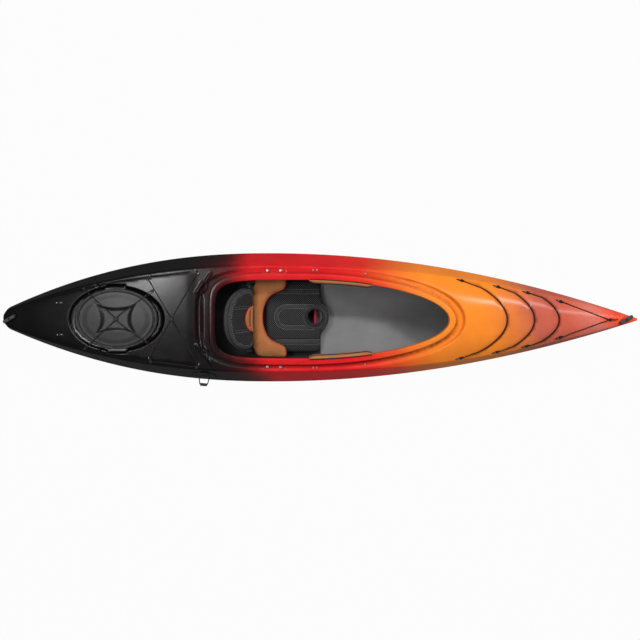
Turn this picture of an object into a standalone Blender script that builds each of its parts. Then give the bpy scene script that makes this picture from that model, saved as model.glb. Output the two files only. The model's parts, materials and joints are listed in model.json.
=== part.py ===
"""Recreational kayak with a sit-in cockpit, a padded seat, a stern hatch and deck fittings.

Metres. +X points to the bow, +Y to port and +Z up. The origin is the middle of the keel's flat.
"""
from math import cos, pi, radians, sin, sqrt

import bmesh
import bpy
from mathutils import Matrix, Vector
from mathutils.bvhtree import BVHTree

# General
GAP = 0.0003
SIDES = {"port": 1, "starboard": -1}

# Hull and deck shells
LENGTH = 3.810
BEAM = 0.787
WALL = 0.005
WIDEST_X = -0.300
BOW_FULLNESS = 2.02
STERN_FULLNESS = 2.25
BOW_TIP_HALF = 0.006
STERN_TIP_HALF = 0.050
STERN_ROUNDING = 0.040
BOW_BLOCK = 0.100
STERN_BLOCK = 0.090
KEEL_FLAT = 0.060
KEEL_RISE_X = (-1.250, 1.150)
KEEL_RISE_STERN = 0.200
KEEL_RISE_BOW = 0.270
SEAM_MID = 0.165
SEAM_STERN = 0.240
SEAM_BOW = 0.300
CREASE_MID = 0.293
CREASE_STERN = 0.262
CREASE_BOW = 0.306
CREASE_SHARE_AFT = 0.81
CREASE_SHARE_FORE = 0.85
CAMBER = 2.2
DECK_STERN = 0.268
DECK_HATCH = 0.288
DECK_AFT = 0.291
DECK_PEAK = 0.378
DECK_BOW = 0.309
STATIONS = 36
HULL_STEPS = 6
DECK_SHARES = (1.0, 0.82, 0.56, 0.28)

# Cockpit, as reaches forward and aft of its centre; its half width follows from the crease
COCKPIT_X = -0.116
COCKPIT_FORE = 0.886
COCKPIT_AFT = 0.505
RIM_WIDTH = 0.038
RIM_THICK = 0.010
COAMING_WALL = 0.008
MOAT_FORE_WIDTH = 0.093
MOAT_AFT_WIDTH = 0.117
MOAT_SIDE_WIDTH = 0.073
MOAT_SHOULDER = 0.0107
MOAT_DEPTH_FORE = 0.030
MOAT_DEPTH_AFT = 0.012
MOAT_DEPTH_SIDE = 0.003
COAMING_RISE = 0.030
COAMING_RISE_FORE = 0.050
COAMING_RISE_AFT = 0.042
COLLAR_FOOT = 0.022
COLLAR_LEAN = 0.006
COLLAR_RISE = 0.010
AROUND = 48

# Front deck steps and their cords, as distances ahead of the moat
STEP_RISE = 0.015
ROW_SETBACKS = (-0.020, 0.196, 0.372, 0.570)
ROW_SHARES = (0.941, 0.929, 0.912, 0.829)
ARC_APEXES = (0.247, 0.411, 0.560)
ARC_LEAD = 0.015
ARC_FOOT = 0.0015
ARC_CLEAR = 0.001
ARC_END_CLEAR = 0.006
ARC_END_SHARE = 0.72
BEAD_TO_BOW = 0.168
BEAD_RADIUS = 0.008
BEAD_LONG = 0.014
STEM_TO_BOW = 0.118

# Hatch, as half sizes of ellipses about its centre
HATCH_GAP = 0.190
HATCH_AROUND = 36
HATCH_LONG = 0.2475
HATCH_HALF = 0.181
HATCH_MOAT_LONG = 0.040
HATCH_MOAT_SIDE = 0.017
HATCH_DEPTH = 0.014
NECK_RISE = 0.018
NECK_INSET = 0.012
NECK_WALL = 0.006
GASKET = 0.003
LID_THICK = 0.006
LID_RELIEF = 0.0065
PEG_OUT = 0.031
PEG_TURNS = {"aft": 127.6, "fore": 46.8}
PEG_BASE = 0.0085
PEG_RADIUS = 0.003
PEG_HEIGHT = 0.014
BUTTON_RADIUS = 0.006
BUTTON_CAP = 0.013

# Cords and deck eyes
CORD = 0.0055
EYE_LONG = 0.042
EYE_WIDE = 0.018
EYE_BASE = 0.003
EYE_ARCH = 0.008
EYE_WIRE = 0.002
EYE_RUN_OUT = 0.008
EYE_RUN_IN = 0.010
BUNGEE_AFT = 0.050
BUNGEE_FORE = 0.008
BUNGEE_AFT_SHARE = 0.899
BUNGEE_FORE_SHARE = 0.931
CLIP_RADIUS = 0.011
STERN_EYES = 0.346
STERN_EYE_SHARE = 0.610

# Carry toggles
TOGGLE_LONG = 0.086
TOGGLE_RADIUS = 0.011
TOGGLE_TURN = 30.0
TOGGLE_BOW = 0.0725
TOGGLE_STERN = 0.046
TOGGLE_CORD_DEPTH = 0.045
TOGGLE_RIBS = 4

# Bulkhead and bow pillar
BULKHEAD_SETBACK = 0.035
BULKHEAD_THICK = 0.030
PILLAR_X = (0.930, 1.430)
PILLAR_THICK = 0.056

# Seat
SEAT_FRONT = 0.050
SEAT_REAR = -0.345
SEAT_INSET = 0.001
PAN_REAR = -0.450
PAN_THICK = 0.010
PAN_TOP = 0.055
RUNNER_Y = 0.110
RUNNER_WIDE = 0.024
PAD_THICK = 0.043
STRAP_THICK = 0.0015
STRAP_WIDE = 0.025
CUP_X = -0.024
CUP_OUTER = 0.056
CUP_INNER = 0.044
CUP_RISE = 0.006
BOLSTER_TOP = 0.180
BOLSTER_TIP_X = -0.200
BOLSTER_ARM = 0.028
BOLSTER_SIDE = 0.001
BOLSTER_REAR = 0.060
BOLSTER_THICK = 0.058
BOLSTER_STEP = 0.030
BOLSTER_FOOT = (0.007, 0.051)
BOLSTER_FOOT_HALF = 0.150
BACK_PIVOT_X = -0.425
BACK_PIVOT_Z = 0.205
BACK_RECLINE = 30.0
BACK_HEIGHT = 0.262
BACK_INSET = 0.048
BACK_THICK = 0.040
BACK_PANEL = 0.070
BACK_BOARD = 0.007
PIN_RADIUS = 0.004
KNUCKLE_RADIUS = 0.009
UPRIGHT_THICK = 0.010
UPRIGHT_LONG = 0.036
TAB_RADIUS = 0.079
TAB_THICK = 0.010
HANGER_LONG = 0.120
HANGER_THICK = 0.004
BOLT_X = (-0.310, -0.230)
BOLT_INSET = 0.0185
BOLT_RADIUS = 0.003
BOLT_HEAD = 0.009

# Thigh pads along the coaming's inner edge
THIGH_X = (-0.058, 0.317)
THIGH_DEPTH = 0.105
THIGH_THICK = 0.028
THIGH_LAP = 0.012
THIGH_SKIN = 0.008

# Foot braces
RAIL_X = (0.350, 0.850)
RAIL_Z = 0.140
RAIL_HIGH = 0.028
RAIL_THICK = 0.012
RAIL_STANDOFF = 0.034
PEDAL_X = 0.560
SLIDER_LONG = 0.050
SLIDER_WALL = 0.004
FOOT_WIDE = 0.085
FOOT_HIGH = 0.100
FOOT_RAISE = 0.014
FOOT_THICK = 0.012
LEVER_LONG = 0.050
LEVER_WIDE = 0.014
LEVER_BARREL = 0.0035
LEVER_PIN = 0.0018
LEVER_EAR = 0.003

# Paddle keeper on the starboard shoulder
KEEPER_X = -0.703
KEEPER_LONG = 0.150
KEEPER_HIGH = 0.066
KEEPER_THICK = 0.004
KEEPER_BARREL = 0.0065
KEEPER_WIRE = 0.003
KEEPER_REACH = 0.044
KEEPER_BASE = 0.060
KEEPER_BAR = 0.044
KEEPER_GRIP = 0.009

# Values worked out from the sizes above
MOAT_HALF = BEAM / 2 * CREASE_SHARE_AFT - MOAT_SHOULDER
COCKPIT_HALF = MOAT_HALF - MOAT_SIDE_WIDTH
SEAT_HALF = COCKPIT_HALF - SEAT_INSET
BACK_HALF = SEAT_HALF - BACK_INSET
BOLT_Y = MOAT_HALF - BOLT_INSET
HALF_LENGTH = LENGTH / 2
MOAT_FRONT_X = COCKPIT_X + COCKPIT_FORE + MOAT_FORE_WIDTH
MOAT_REAR_X = COCKPIT_X - COCKPIT_AFT - MOAT_AFT_WIDTH
BULKHEAD_X = MOAT_REAR_X - BULKHEAD_SETBACK
HATCH_X = MOAT_REAR_X - HATCH_GAP - HATCH_LONG - HATCH_MOAT_LONG
HATCH_FLOOR = DECK_HATCH - HATCH_DEPTH
NECK_TOP = HATCH_FLOOR + NECK_RISE
LID_UNDER = NECK_TOP + GASKET + 2 * GAP
LID_EDGE = LID_UNDER + LID_THICK
LID_TOP = LID_EDGE + LID_RELIEF
CORD_RADIUS = CORD / 2
EYE_PASS = EYE_BASE + CORD_RADIUS + 2 * GAP
PAD_BOTTOM = PAN_TOP + STRAP_THICK + 2 * GAP
PAD_TOP = PAD_BOTTOM + PAD_THICK

# Outlines as (reach forward, reach aft, half width, power forward, power aft)
COCKPIT_INNER = (COCKPIT_FORE, COCKPIT_AFT, COCKPIT_HALF, 2.0, 5.0)
MOAT_OUTER = (
    COCKPIT_FORE + MOAT_FORE_WIDTH,
    COCKPIT_AFT + MOAT_AFT_WIDTH,
    MOAT_HALF,
    2.15,
    3.5,
)

COLOURS = {
    "hull_plastic": ((0.78, 0.16, 0.05), 0.35, 0.0),
    "deck_plastic": ((0.80, 0.24, 0.04), 0.35, 0.0),
    "black_plastic": ((0.02, 0.02, 0.02), 0.45, 0.0),
    "lid_rubber": ((0.05, 0.05, 0.05), 0.55, 0.0),
    "cord_black": ((0.015, 0.015, 0.015), 0.80, 0.0),
    "grey_grip": ((0.18, 0.18, 0.19), 0.55, 0.0),
    "black_mesh": ((0.02, 0.02, 0.022), 0.90, 0.0),
    "tan_pad": ((0.48, 0.19, 0.04), 0.85, 0.0),
    "red_webbing": ((0.60, 0.03, 0.03), 0.80, 0.0),
    "grey_foam": ((0.16, 0.16, 0.17), 0.95, 0.0),
    "steel": ((0.55, 0.55, 0.56), 0.30, 1.0),
    "rail_alloy": ((0.60, 0.60, 0.62), 0.35, 1.0),
}


def clear_scene():
    for item in list(bpy.data.objects):
        bpy.data.objects.remove(item, do_unlink=True)


def new_collection(name):
    group = bpy.data.collections.new(name)
    bpy.context.scene.collection.children.link(group)
    return group


def new_material(name):
    colour, roughness, metallic = COLOURS[name]
    material = bpy.data.materials.new(name)
    material.use_nodes = True
    shader = material.node_tree.nodes["Principled BSDF"]
    shader.inputs["Base Color"].default_value = (*colour, 1.0)
    shader.inputs["Roughness"].default_value = roughness
    shader.inputs["Metallic"].default_value = metallic
    return material


# Meshes

def closed_mesh(name, points, faces):
    """Mesh whose doubled points are merged and whose faces point out."""
    mesh = bpy.data.meshes.new(name)
    mesh.from_pydata([tuple(point) for point in points], [], faces)
    work = bmesh.new()
    work.from_mesh(mesh)
    bmesh.ops.remove_doubles(work, verts=work.verts, dist=1e-6)
    bmesh.ops.recalc_face_normals(work, faces=work.faces)
    work.to_mesh(mesh)
    work.free()
    mesh.shade_smooth()
    mesh.set_sharp_from_angle(angle=radians(35))
    return mesh


def loft(name, sections):
    """Skin over closed sections with equal counts, capped flat at both ends."""
    count = len(sections[0])
    points = [point for section in sections for point in section]
    faces = []
    for row in range(len(sections) - 1):
        here = row * count
        there = here + count
        for i in range(count):
            j = (i + 1) % count
            faces.append((here + i, here + j, there + j, there + i))
    last = (len(sections) - 1) * count
    faces.append(tuple(range(count)))
    faces.append(tuple(range(last, last + count)))
    return closed_mesh(name, points, faces)


def ring_loft(name, loops):
    """Skin over closed loops, the last joined back to the first."""
    count = len(loops[0])
    points = [point for loop in loops for point in loop]
    faces = []
    for row in range(len(loops)):
        here = row * count
        there = (row + 1) % len(loops) * count
        for i in range(count):
            j = (i + 1) % count
            faces.append((here + i, here + j, there + j, there + i))
    return closed_mesh(name, points, faces)


def dome_loft(name, loops, first_tip, last_tip):
    """Skin over closed loops that runs to a point at both ends."""
    count = len(loops[0])
    points = [point for loop in loops for point in loop] + [first_tip, last_tip]
    first = len(points) - 2
    last = len(points) - 1
    faces = []
    for row in range(len(loops) - 1):
        here = row * count
        there = here + count
        for i in range(count):
            j = (i + 1) % count
            faces.append((here + i, here + j, there + j, there + i))
    end = (len(loops) - 1) * count
    for i in range(count):
        j = (i + 1) % count
        faces.append((first, i, j))
        faces.append((last, end + i, end + j))
    return closed_mesh(name, points, faces)


def prism(name, outline, low, high):
    """Flat outline of (x, y) points, carried from one height to another."""
    return loft(name, [[(x, y, z) for x, y in outline] for z in (low, high)])


def side_prism(name, outline, low, high):
    """Flat outline of (y, z) points, carried along X."""
    return loft(name, [[(x, y, z) for y, z in outline] for x in (low, high)])


def rod(name, radius, low, high, axis="Z", sides=16):
    """Cylinder about a local axis, from low to high along it."""
    work = bmesh.new()
    middle = Matrix.Translation((0, 0, (low + high) / 2))
    bmesh.ops.create_cone(
        work, cap_ends=True, segments=sides, radius1=radius, radius2=radius,
        depth=high - low, matrix=middle,
    )
    if axis == "Y":
        bmesh.ops.rotate(work, verts=work.verts, matrix=Matrix.Rotation(-pi / 2, 3, "X"))
    if axis == "X":
        bmesh.ops.rotate(work, verts=work.verts, matrix=Matrix.Rotation(pi / 2, 3, "Y"))
    mesh = bpy.data.meshes.new(name)
    work.to_mesh(mesh)
    work.free()
    mesh.shade_smooth()
    mesh.set_sharp_from_angle(angle=radians(40))
    return mesh


def block(name, low, high):
    """Box between two corners."""
    work = bmesh.new()
    bmesh.ops.create_cube(work, size=1.0)
    size = [b - a for a, b in zip(low, high)]
    middle = [(a + b) / 2 for a, b in zip(low, high)]
    bmesh.ops.scale(work, verts=work.verts, vec=size)
    bmesh.ops.translate(work, verts=work.verts, vec=middle)
    mesh = bpy.data.meshes.new(name)
    work.to_mesh(mesh)
    work.free()
    return mesh


def ellipse(long, wide, count, centre=(0.0, 0.0)):
    points = []
    for i in range(count):
        turn = 2 * pi * i / count
        points.append((centre[0] + long * cos(turn), centre[1] + wide * sin(turn)))
    return points


# Objects

class Builder:
    """Keeps the collections and materials that the sub-parts share."""

    def __init__(self):
        self.parts = new_collection("recreational_kayak")
        self.cutters = new_collection("cutters")
        self.materials = {name: new_material(name) for name in COLOURS}

    def part(self, name, mesh, material, place=(0, 0, 0), turn=None, parent=None):
        if not mesh.materials:
            mesh.materials.append(self.materials[material])
        item = bpy.data.objects.new(name, mesh)
        item.location = place
        if turn is not None:
            item.rotation_euler = turn
        item.parent = parent
        self.parts.objects.link(item)
        return item

    def pivot(self, name, place, turn=(0, 0, 0)):
        """Empty on a joint's axis."""
        item = bpy.data.objects.new(name, None)
        item.location = place
        item.rotation_euler = turn
        self.parts.objects.link(item)
        return item

    def tool(self, mesh, place=(0, 0, 0), turn=None, parent=None):
        """Object that only cuts or joins another."""
        item = bpy.data.objects.new(mesh.name, mesh)
        item.location = place
        if turn is not None:
            item.rotation_euler = turn
        item.parent = parent
        item.hide_render = True
        item.display_type = "WIRE"
        self.cutters.objects.link(item)
        return item

    def boolean(self, target, tool, operation):
        modifier = target.modifiers.new(tool.name, "BOOLEAN")
        modifier.operation = operation
        modifier.solver = "EXACT"
        modifier.object = tool
        weld = target.modifiers.new("weld", "WELD")
        weld.merge_threshold = 0.00002

    def cut(self, target, mesh, **place):
        self.boolean(target, self.tool(mesh, **place), "DIFFERENCE")

    def join(self, target, mesh, **place):
        self.boolean(target, self.tool(mesh, **place), "UNION")

    def tube_mesh(self, name, points, radius, closed=False, resolution=2):
        """Round tube along a list of points, as one welded mesh."""
        curve = bpy.data.curves.new(name, "CURVE")
        curve.dimensions = "3D"
        curve.bevel_depth = radius
        curve.bevel_resolution = resolution
        curve.use_fill_caps = True
        spline = curve.splines.new("POLY")
        spline.points.add(len(points) - 1)
        for slot, point in zip(spline.points, points):
            slot.co = (*point, 1.0)
        spline.use_cyclic_u = closed
        holder = bpy.data.objects.new(name, curve)
        self.cutters.objects.link(holder)
        graph = bpy.context.evaluated_depsgraph_get()
        mesh = bpy.data.meshes.new_from_object(holder.evaluated_get(graph))
        bpy.data.objects.remove(holder, do_unlink=True)
        work = bmesh.new()
        work.from_mesh(mesh)
        bmesh.ops.remove_doubles(work, verts=work.verts, dist=1e-6)
        bmesh.ops.recalc_face_normals(work, faces=work.faces)
        work.to_mesh(mesh)
        work.free()
        mesh.name = name
        mesh.shade_smooth()
        mesh.set_sharp_from_angle(angle=radians(50))
        return mesh


# Lines of the hull and the deck

def blend(low, high, share):
    return low + (high - low) * share


def smooth_share(value, start, end):
    share = min(1.0, max(0.0, (value - start) / (end - start)))
    return share * share * (3 - 2 * share)


def smooth_through(points, x):
    """Height at x on a smooth line through (x, z) points that never overshoots."""
    if x <= points[0][0]:
        return points[0][1]
    if x >= points[-1][0]:
        return points[-1][1]
    slopes = [(b[1] - a[1]) / (b[0] - a[0]) for a, b in zip(points, points[1:])]
    tangents = [slopes[0]]
    for before, after in zip(slopes, slopes[1:]):
        level = before * after <= 0
        tangents.append(0.0 if level else 2 * before * after / (before + after))
    tangents.append(slopes[-1])
    i = max(k for k in range(len(slopes)) if points[k][0] <= x)
    span = points[i + 1][0] - points[i][0]
    t = (x - points[i][0]) / span
    return (
        (2 * t**3 - 3 * t**2 + 1) * points[i][1]
        + (t**3 - 2 * t**2 + t) * span * tangents[i]
        + (3 * t**2 - 2 * t**3) * points[i + 1][1]
        + (t**3 - t**2) * span * tangents[i + 1]
    )


def end_share(x):
    """0 at the widest station and 1 at the bow or stern tip."""
    reach = HALF_LENGTH - WIDEST_X if x > WIDEST_X else HALF_LENGTH + WIDEST_X
    return min(1.0, abs(x - WIDEST_X) / reach)


def half_beam(x):
    share = end_share(x)
    if x > WIDEST_X:
        return BOW_TIP_HALF + (BEAM / 2 - BOW_TIP_HALF) * (1 - share**BOW_FULLNESS)
    width = STERN_TIP_HALF + (BEAM / 2 - STERN_TIP_HALF) * (1 - share**STERN_FULLNESS)
    past = max(0.0, 1 - (x + HALF_LENGTH) / STERN_ROUNDING)
    return width * sqrt(1 - 0.8 * past**2)


def seam_z(x):
    end = SEAM_BOW if x > WIDEST_X else SEAM_STERN
    return blend(SEAM_MID, end, end_share(x) ** 2.4)


def crease_z(x):
    end = CREASE_BOW if x > WIDEST_X else CREASE_STERN
    return blend(CREASE_MID, end, end_share(x) ** 2)


def crease_half(x):
    fore = smooth_share(x, COCKPIT_X, MOAT_FRONT_X)
    return half_beam(x) * blend(CREASE_SHARE_AFT, CREASE_SHARE_FORE, fore)


def keel_z(x):
    aft, fore = KEEL_RISE_X
    if x > fore:
        return KEEL_RISE_BOW * ((x - fore) / (HALF_LENGTH - fore)) ** 3
    if x < aft:
        return KEEL_RISE_STERN * ((aft - x) / (aft + HALF_LENGTH)) ** 3
    return 0.0


def deck_centre_z(x):
    line = (
        (-HALF_LENGTH, DECK_STERN),
        (HATCH_X, DECK_HATCH),
        (MOAT_REAR_X, DECK_AFT),
        (MOAT_FRONT_X - 0.05, DECK_PEAK),
        (HALF_LENGTH, DECK_BOW),
    )
    return smooth_through(line, x)


def deck_top(x, y):
    """Height of the deck between its two creases, without the steps."""
    low = crease_z(x)
    share = min(1.0, abs(y) / crease_half(x))
    return low + (deck_centre_z(x) - low) * (1 - share**CAMBER)


def hull_line(x):
    """Bottom section as (y, z), from the port seam down and up to the starboard seam."""
    half = half_beam(x)
    top = seam_z(x)
    bottom = keel_z(x)
    flat = min(KEEL_FLAT / 2, 0.35 * half)
    sharp = end_share(x) ** 2.5
    power = blend(3.0, 1.6, sharp)
    vee = blend(0.12, 0.75, sharp)
    line = []
    for i in range(HULL_STEPS + 1):
        angle = pi / 2 * i / HULL_STEPS
        across = sin(angle) ** (2 / power)
        up = vee * across + (1 - vee) * (1 - max(0.0, cos(angle)) ** (2 / power))
        line.append((blend(flat, half, across), blend(bottom, top, up)))
    return line[::-1] + [(-y, z) for y, z in line]


def deck_line(x):
    """Deck section as (y, z), from the starboard seam up, over and down to the port seam."""
    crease = crease_half(x)
    port = [(half_beam(x), seam_z(x) + GAP)]
    port += [(share * crease, deck_top(x, share * crease)) for share in DECK_SHARES]
    return [(-y, z) for y, z in port] + [(0.0, deck_top(x, 0.0))] + port[::-1]


def inset_line(line, depth):
    """Moves an open outline to its right by depth, with mitred corners."""
    normals = []
    for (y0, z0), (y1, z1) in zip(line, line[1:]):
        length = sqrt((y1 - y0) ** 2 + (z1 - z0) ** 2)
        normals.append(((z1 - z0) / length, (y0 - y1) / length))
    moved = []
    for i, (y, z) in enumerate(line):
        before = normals[max(i - 1, 0)]
        after = normals[min(i, len(normals) - 1)]
        scale = depth / (1 + before[0] * after[0] + before[1] * after[1])
        moved.append((y + (before[0] + after[0]) * scale, z + (before[1] + after[1]) * scale))
    return moved


def stations(low, high):
    """Positions along X, closer at the ends, with the bulkhead's faces and both limits."""
    line = {-HALF_LENGTH * cos(pi * i / STATIONS) for i in range(STATIONS + 1)}
    line |= {BULKHEAD_X, BULKHEAD_X - BULKHEAD_THICK}
    spread = 0.012
    inside = {x for x in line if low + spread < x < high - spread}
    return sorted(inside | {low, high})


def cavity_ends():
    return (-HALF_LENGTH + STERN_BLOCK, HALF_LENGTH - BOW_BLOCK)


# Outlines round the cockpit and the hatch

def outline_point(outline, turn, grow=0.0):
    """Point on a rounded outline about the cockpit's centre."""
    fore, aft, half, power_fore, power_aft = outline
    ahead = cos(turn) > 0
    reach = (fore if ahead else aft) + grow
    power = power_fore if ahead else power_aft
    fit = (abs(cos(turn)) ** power + abs(sin(turn)) ** power) ** (-1 / power)
    return (COCKPIT_X + reach * cos(turn) * fit, (half + grow) * sin(turn) * fit)


def around():
    return [2 * pi * i / AROUND for i in range(AROUND)]


def fore_and_aft(turn, side, fore, aft):
    """Value that runs from its side value to its fore or aft value."""
    end = fore if cos(turn) > 0 else aft
    return blend(side, end, cos(turn) ** 2)


def ledge_z(turn):
    x, y = outline_point(MOAT_OUTER, turn)
    depth = fore_and_aft(turn, MOAT_DEPTH_SIDE, MOAT_DEPTH_FORE, MOAT_DEPTH_AFT)
    return deck_top(x, y) - depth


def rim_z(turn):
    rise = fore_and_aft(turn, COAMING_RISE, COAMING_RISE_FORE, COAMING_RISE_AFT)
    return ledge_z(turn) + rise


# Shells

def build_hull(make):
    low, high = cavity_ends()
    outer = []
    for x in stations(-HALF_LENGTH, HALF_LENGTH):
        outer.append([(x, y, z) for y, z in hull_line(x)])
    inner = []
    for x in stations(low, high):
        line = inset_line(hull_line(x), WALL)
        above = seam_z(x) + 0.03
        line = [(line[0][0], above)] + line + [(line[-1][0], above)]
        inner.append([(x, y, z) for y, z in line])
    hull = make.part("hull", loft("hull", outer), "hull_plastic")
    cavity = loft("hull_cavity", inner)
    make.cut(hull, cavity)
    return hull, surface_of(cavity)


def surface_of(mesh):
    """Search tree of a mesh, for seating pieces on it."""
    points = [vertex.co.copy() for vertex in mesh.vertices]
    return BVHTree.FromPolygons(points, [tuple(face.vertices) for face in mesh.polygons])


def step_stations(back=0.0):
    """Front deck stations as (x at the crease, sweep to the apex, step height)."""
    high = STEP_RISE / 2
    keys = [(MOAT_FRONT_X - 0.160, 0.0, 0.0)]
    for row, apex in zip(ROW_SETBACKS, ARC_APEXES):
        edge = MOAT_FRONT_X + row + ARC_LEAD - back
        sweep = MOAT_FRONT_X + apex - back - edge
        keys += [(edge, sweep, high), (edge + ARC_FOOT, sweep, -high)]
    keys.append((MOAT_FRONT_X + ARC_APEXES[-1] + 0.280, 0.0, 0.0))
    line = [keys[0]]
    for start, end in zip(keys, keys[1:]):
        pieces = 1 if end[0] - start[0] < 0.01 else 3
        for i in range(1, pieces + 1):
            line.append(tuple(blend(a, b, i / pieces) for a, b in zip(start, end)))
    return line


def deck_stations(low, high, back=0.0):
    """All deck stations between two limits, swept ones included."""
    swept = step_stations(back)
    plain = []
    for x in stations(low, high):
        if x < swept[0][0] - 0.02 or x > swept[-1][0] + 0.02:
            plain.append((x, 0.0, 0.0))
    return sorted(plain + swept)


def swept_section(line, edge_x, sweep, step):
    """Section whose top is swept forward in an arc and raised by a step."""
    crease = crease_half(edge_x)
    section = []
    for y, z in line:
        bow = max(0.0, 1 - (y / crease) ** 2)
        x = edge_x + sweep * bow
        section.append((x, y, z + deck_top(x, y) - deck_top(edge_x, y) + step * bow))
    return section


def coaming_mesh(surface):
    """Moat ledge, coaming wall and rolled rim as one ring round the cockpit."""
    loops = [[] for _ in range(14)]
    for turn in around():
        buried = drop_on(surface, *outline_point(MOAT_OUTER, turn))[0].z - WALL / 2
        ledge = ledge_z(turn)
        rim = rim_z(turn)
        collar = ledge + max(0.0, -cos(turn)) ** 3 * COLLAR_RISE
        places = (
            (MOAT_OUTER, 0.004, buried),
            (MOAT_OUTER, -0.002, buried),
            (MOAT_OUTER, -0.006, ledge),
            (COCKPIT_INNER, RIM_WIDTH + COLLAR_FOOT, ledge),
            (COCKPIT_INNER, RIM_WIDTH + COLLAR_FOOT - COLLAR_LEAN, collar),
            (COCKPIT_INNER, COAMING_WALL, collar),
            (COCKPIT_INNER, COAMING_WALL, rim - RIM_THICK),
            (COCKPIT_INNER, RIM_WIDTH - 0.004, rim - RIM_THICK),
            (COCKPIT_INNER, RIM_WIDTH, rim - RIM_THICK * 0.6),
            (COCKPIT_INNER, RIM_WIDTH - 0.006, rim),
            (COCKPIT_INNER, 0.004, rim),
            (COCKPIT_INNER, 0.0, rim - 0.004),
            (COCKPIT_INNER, 0.0, ledge - WALL),
            (MOAT_OUTER, 0.004, ledge - WALL),
        )
        for loop, (outline, grow, z) in zip(loops, places):
            loop.append((*outline_point(outline, turn, grow), z))
    return ring_loft("coaming", loops)


def hatch_ring_mesh():
    """Hatch recess floor and upstanding neck as one ring."""
    long = HATCH_LONG + HATCH_MOAT_LONG
    wide = HATCH_HALF + HATCH_MOAT_SIDE
    neck_long = HATCH_LONG - NECK_INSET
    neck_wide = HATCH_HALF - NECK_INSET
    places = (
        (long + 0.004, wide + 0.004, None),
        (long - 0.002, wide - 0.002, None),
        (long - 0.008, wide - 0.006, HATCH_FLOOR),
        (neck_long, neck_wide, HATCH_FLOOR),
        (neck_long, neck_wide, NECK_TOP),
        (neck_long - NECK_WALL, neck_wide - NECK_WALL, NECK_TOP),
        (neck_long - NECK_WALL, neck_wide - NECK_WALL, HATCH_FLOOR - WALL),
        (long + 0.004, wide + 0.004, HATCH_FLOOR - WALL),
    )
    loops = []
    for reach, half, height in places:
        loop = []
        for x, y in ellipse(reach, half, HATCH_AROUND, (HATCH_X, 0.0)):
            z = deck_top(x, y) - WALL / 2 if height is None else height
            loop.append((x, y, z))
        loops.append(loop)
    return ring_loft("hatch_ring", loops)


def toggle_places():
    return {"bow": HALF_LENGTH - TOGGLE_BOW, "stern": -HALF_LENGTH + TOGGLE_STERN}


def bolt_places():
    return [(x, side * BOLT_Y) for x in BOLT_X for side in SIDES.values()]


def build_deck(make, hull):
    outer = []
    for station in deck_stations(-HALF_LENGTH, HALF_LENGTH):
        outer.append(swept_section(deck_line(station[0]), *station))
    shell = loft("deck", outer)
    surface = surface_of(shell)
    inner = []
    for station in deck_stations(*cavity_ends(), back=WALL):
        x = station[0]
        line = inset_line(deck_line(x), WALL)
        below = seam_z(x) - 0.03
        line[0] = (line[0][0], seam_z(x))
        line[-1] = (line[-1][0], seam_z(x))
        line = [(line[0][0], below)] + line + [(line[-1][0], below)]
        inner.append(swept_section(line, *station))
    cavity = loft("deck_cavity", inner)
    deck = make.part("deck", shell, "deck_plastic")
    make.cut(deck, cavity)
    moat = [outline_point(MOAT_OUTER, turn) for turn in around()]
    make.cut(deck, prism("moat_hole", moat, 0.20, 0.60))
    ring = coaming_mesh(surface)
    make.join(deck, ring)
    long = HATCH_LONG + HATCH_MOAT_LONG
    recess = ellipse(long, HATCH_HALF + HATCH_MOAT_SIDE, HATCH_AROUND, (HATCH_X, 0))
    make.cut(deck, prism("hatch_hole", recess, 0.20, 0.60))
    make.join(deck, hatch_ring_mesh())
    for x, y in bolt_places():
        make.cut(deck, rod("bolt_hole", BOLT_RADIUS + GAP, 0.22, 0.40, sides=12), place=(x, y, 0))
    for end, x in toggle_places().items():
        top = drop_on(surface, x, 0.0)[0].z
        bottom = top - TOGGLE_CORD_DEPTH - 0.004
        for shell_part in (deck, hull):
            bore = rod(f"{end}_bore", CORD_RADIUS + GAP, bottom, top + 0.05, sides=12)
            make.cut(shell_part, bore, place=(x, 0, 0))
    return deck, surface, surface_of(ring), surface_of(cavity)


# Seating pieces on surfaces

def drop_on(surface, x, y):
    """Point and normal where a vertical line first meets a surface from above."""
    point, normal, _, _ = surface.ray_cast(Vector((x, y, 1.0)), Vector((0, 0, -1)))
    return point, normal


def seat_flat(surface, x, y, reach, clear=GAP):
    """Place and normal that set a flat base of some reach just clear of a surface."""
    point, normal = drop_on(surface, x, y)
    highest = 0.0
    for i in range(12):
        turn = 2 * pi * i / 12
        for share in (0.5, 1.0):
            near = drop_on(surface, x + share * reach * cos(turn), y + share * reach * sin(turn))
            if near[0] is not None:
                highest = max(highest, (near[0] - point).dot(normal))
    return point + normal * (highest + clear), normal


def seat_level(surface, x, y, reach):
    """Place for a level base of some reach just clear of a surface."""
    high = drop_on(surface, x, y)[0].z
    for i in range(12):
        turn = 2 * pi * i / 12
        near, _ = drop_on(surface, x + reach * cos(turn), y + reach * sin(turn))
        high = max(high, near.z)
    return Vector((x, y, high + GAP))


def turn_to(normal, forward):
    """Rotation with +Z along a normal and +X as near as can be to a direction."""
    z = Vector(normal).normalized()
    y = z.cross(Vector(forward)).normalized()
    x = y.cross(z)
    return Matrix((x, y, z)).transposed().to_euler()


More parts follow.
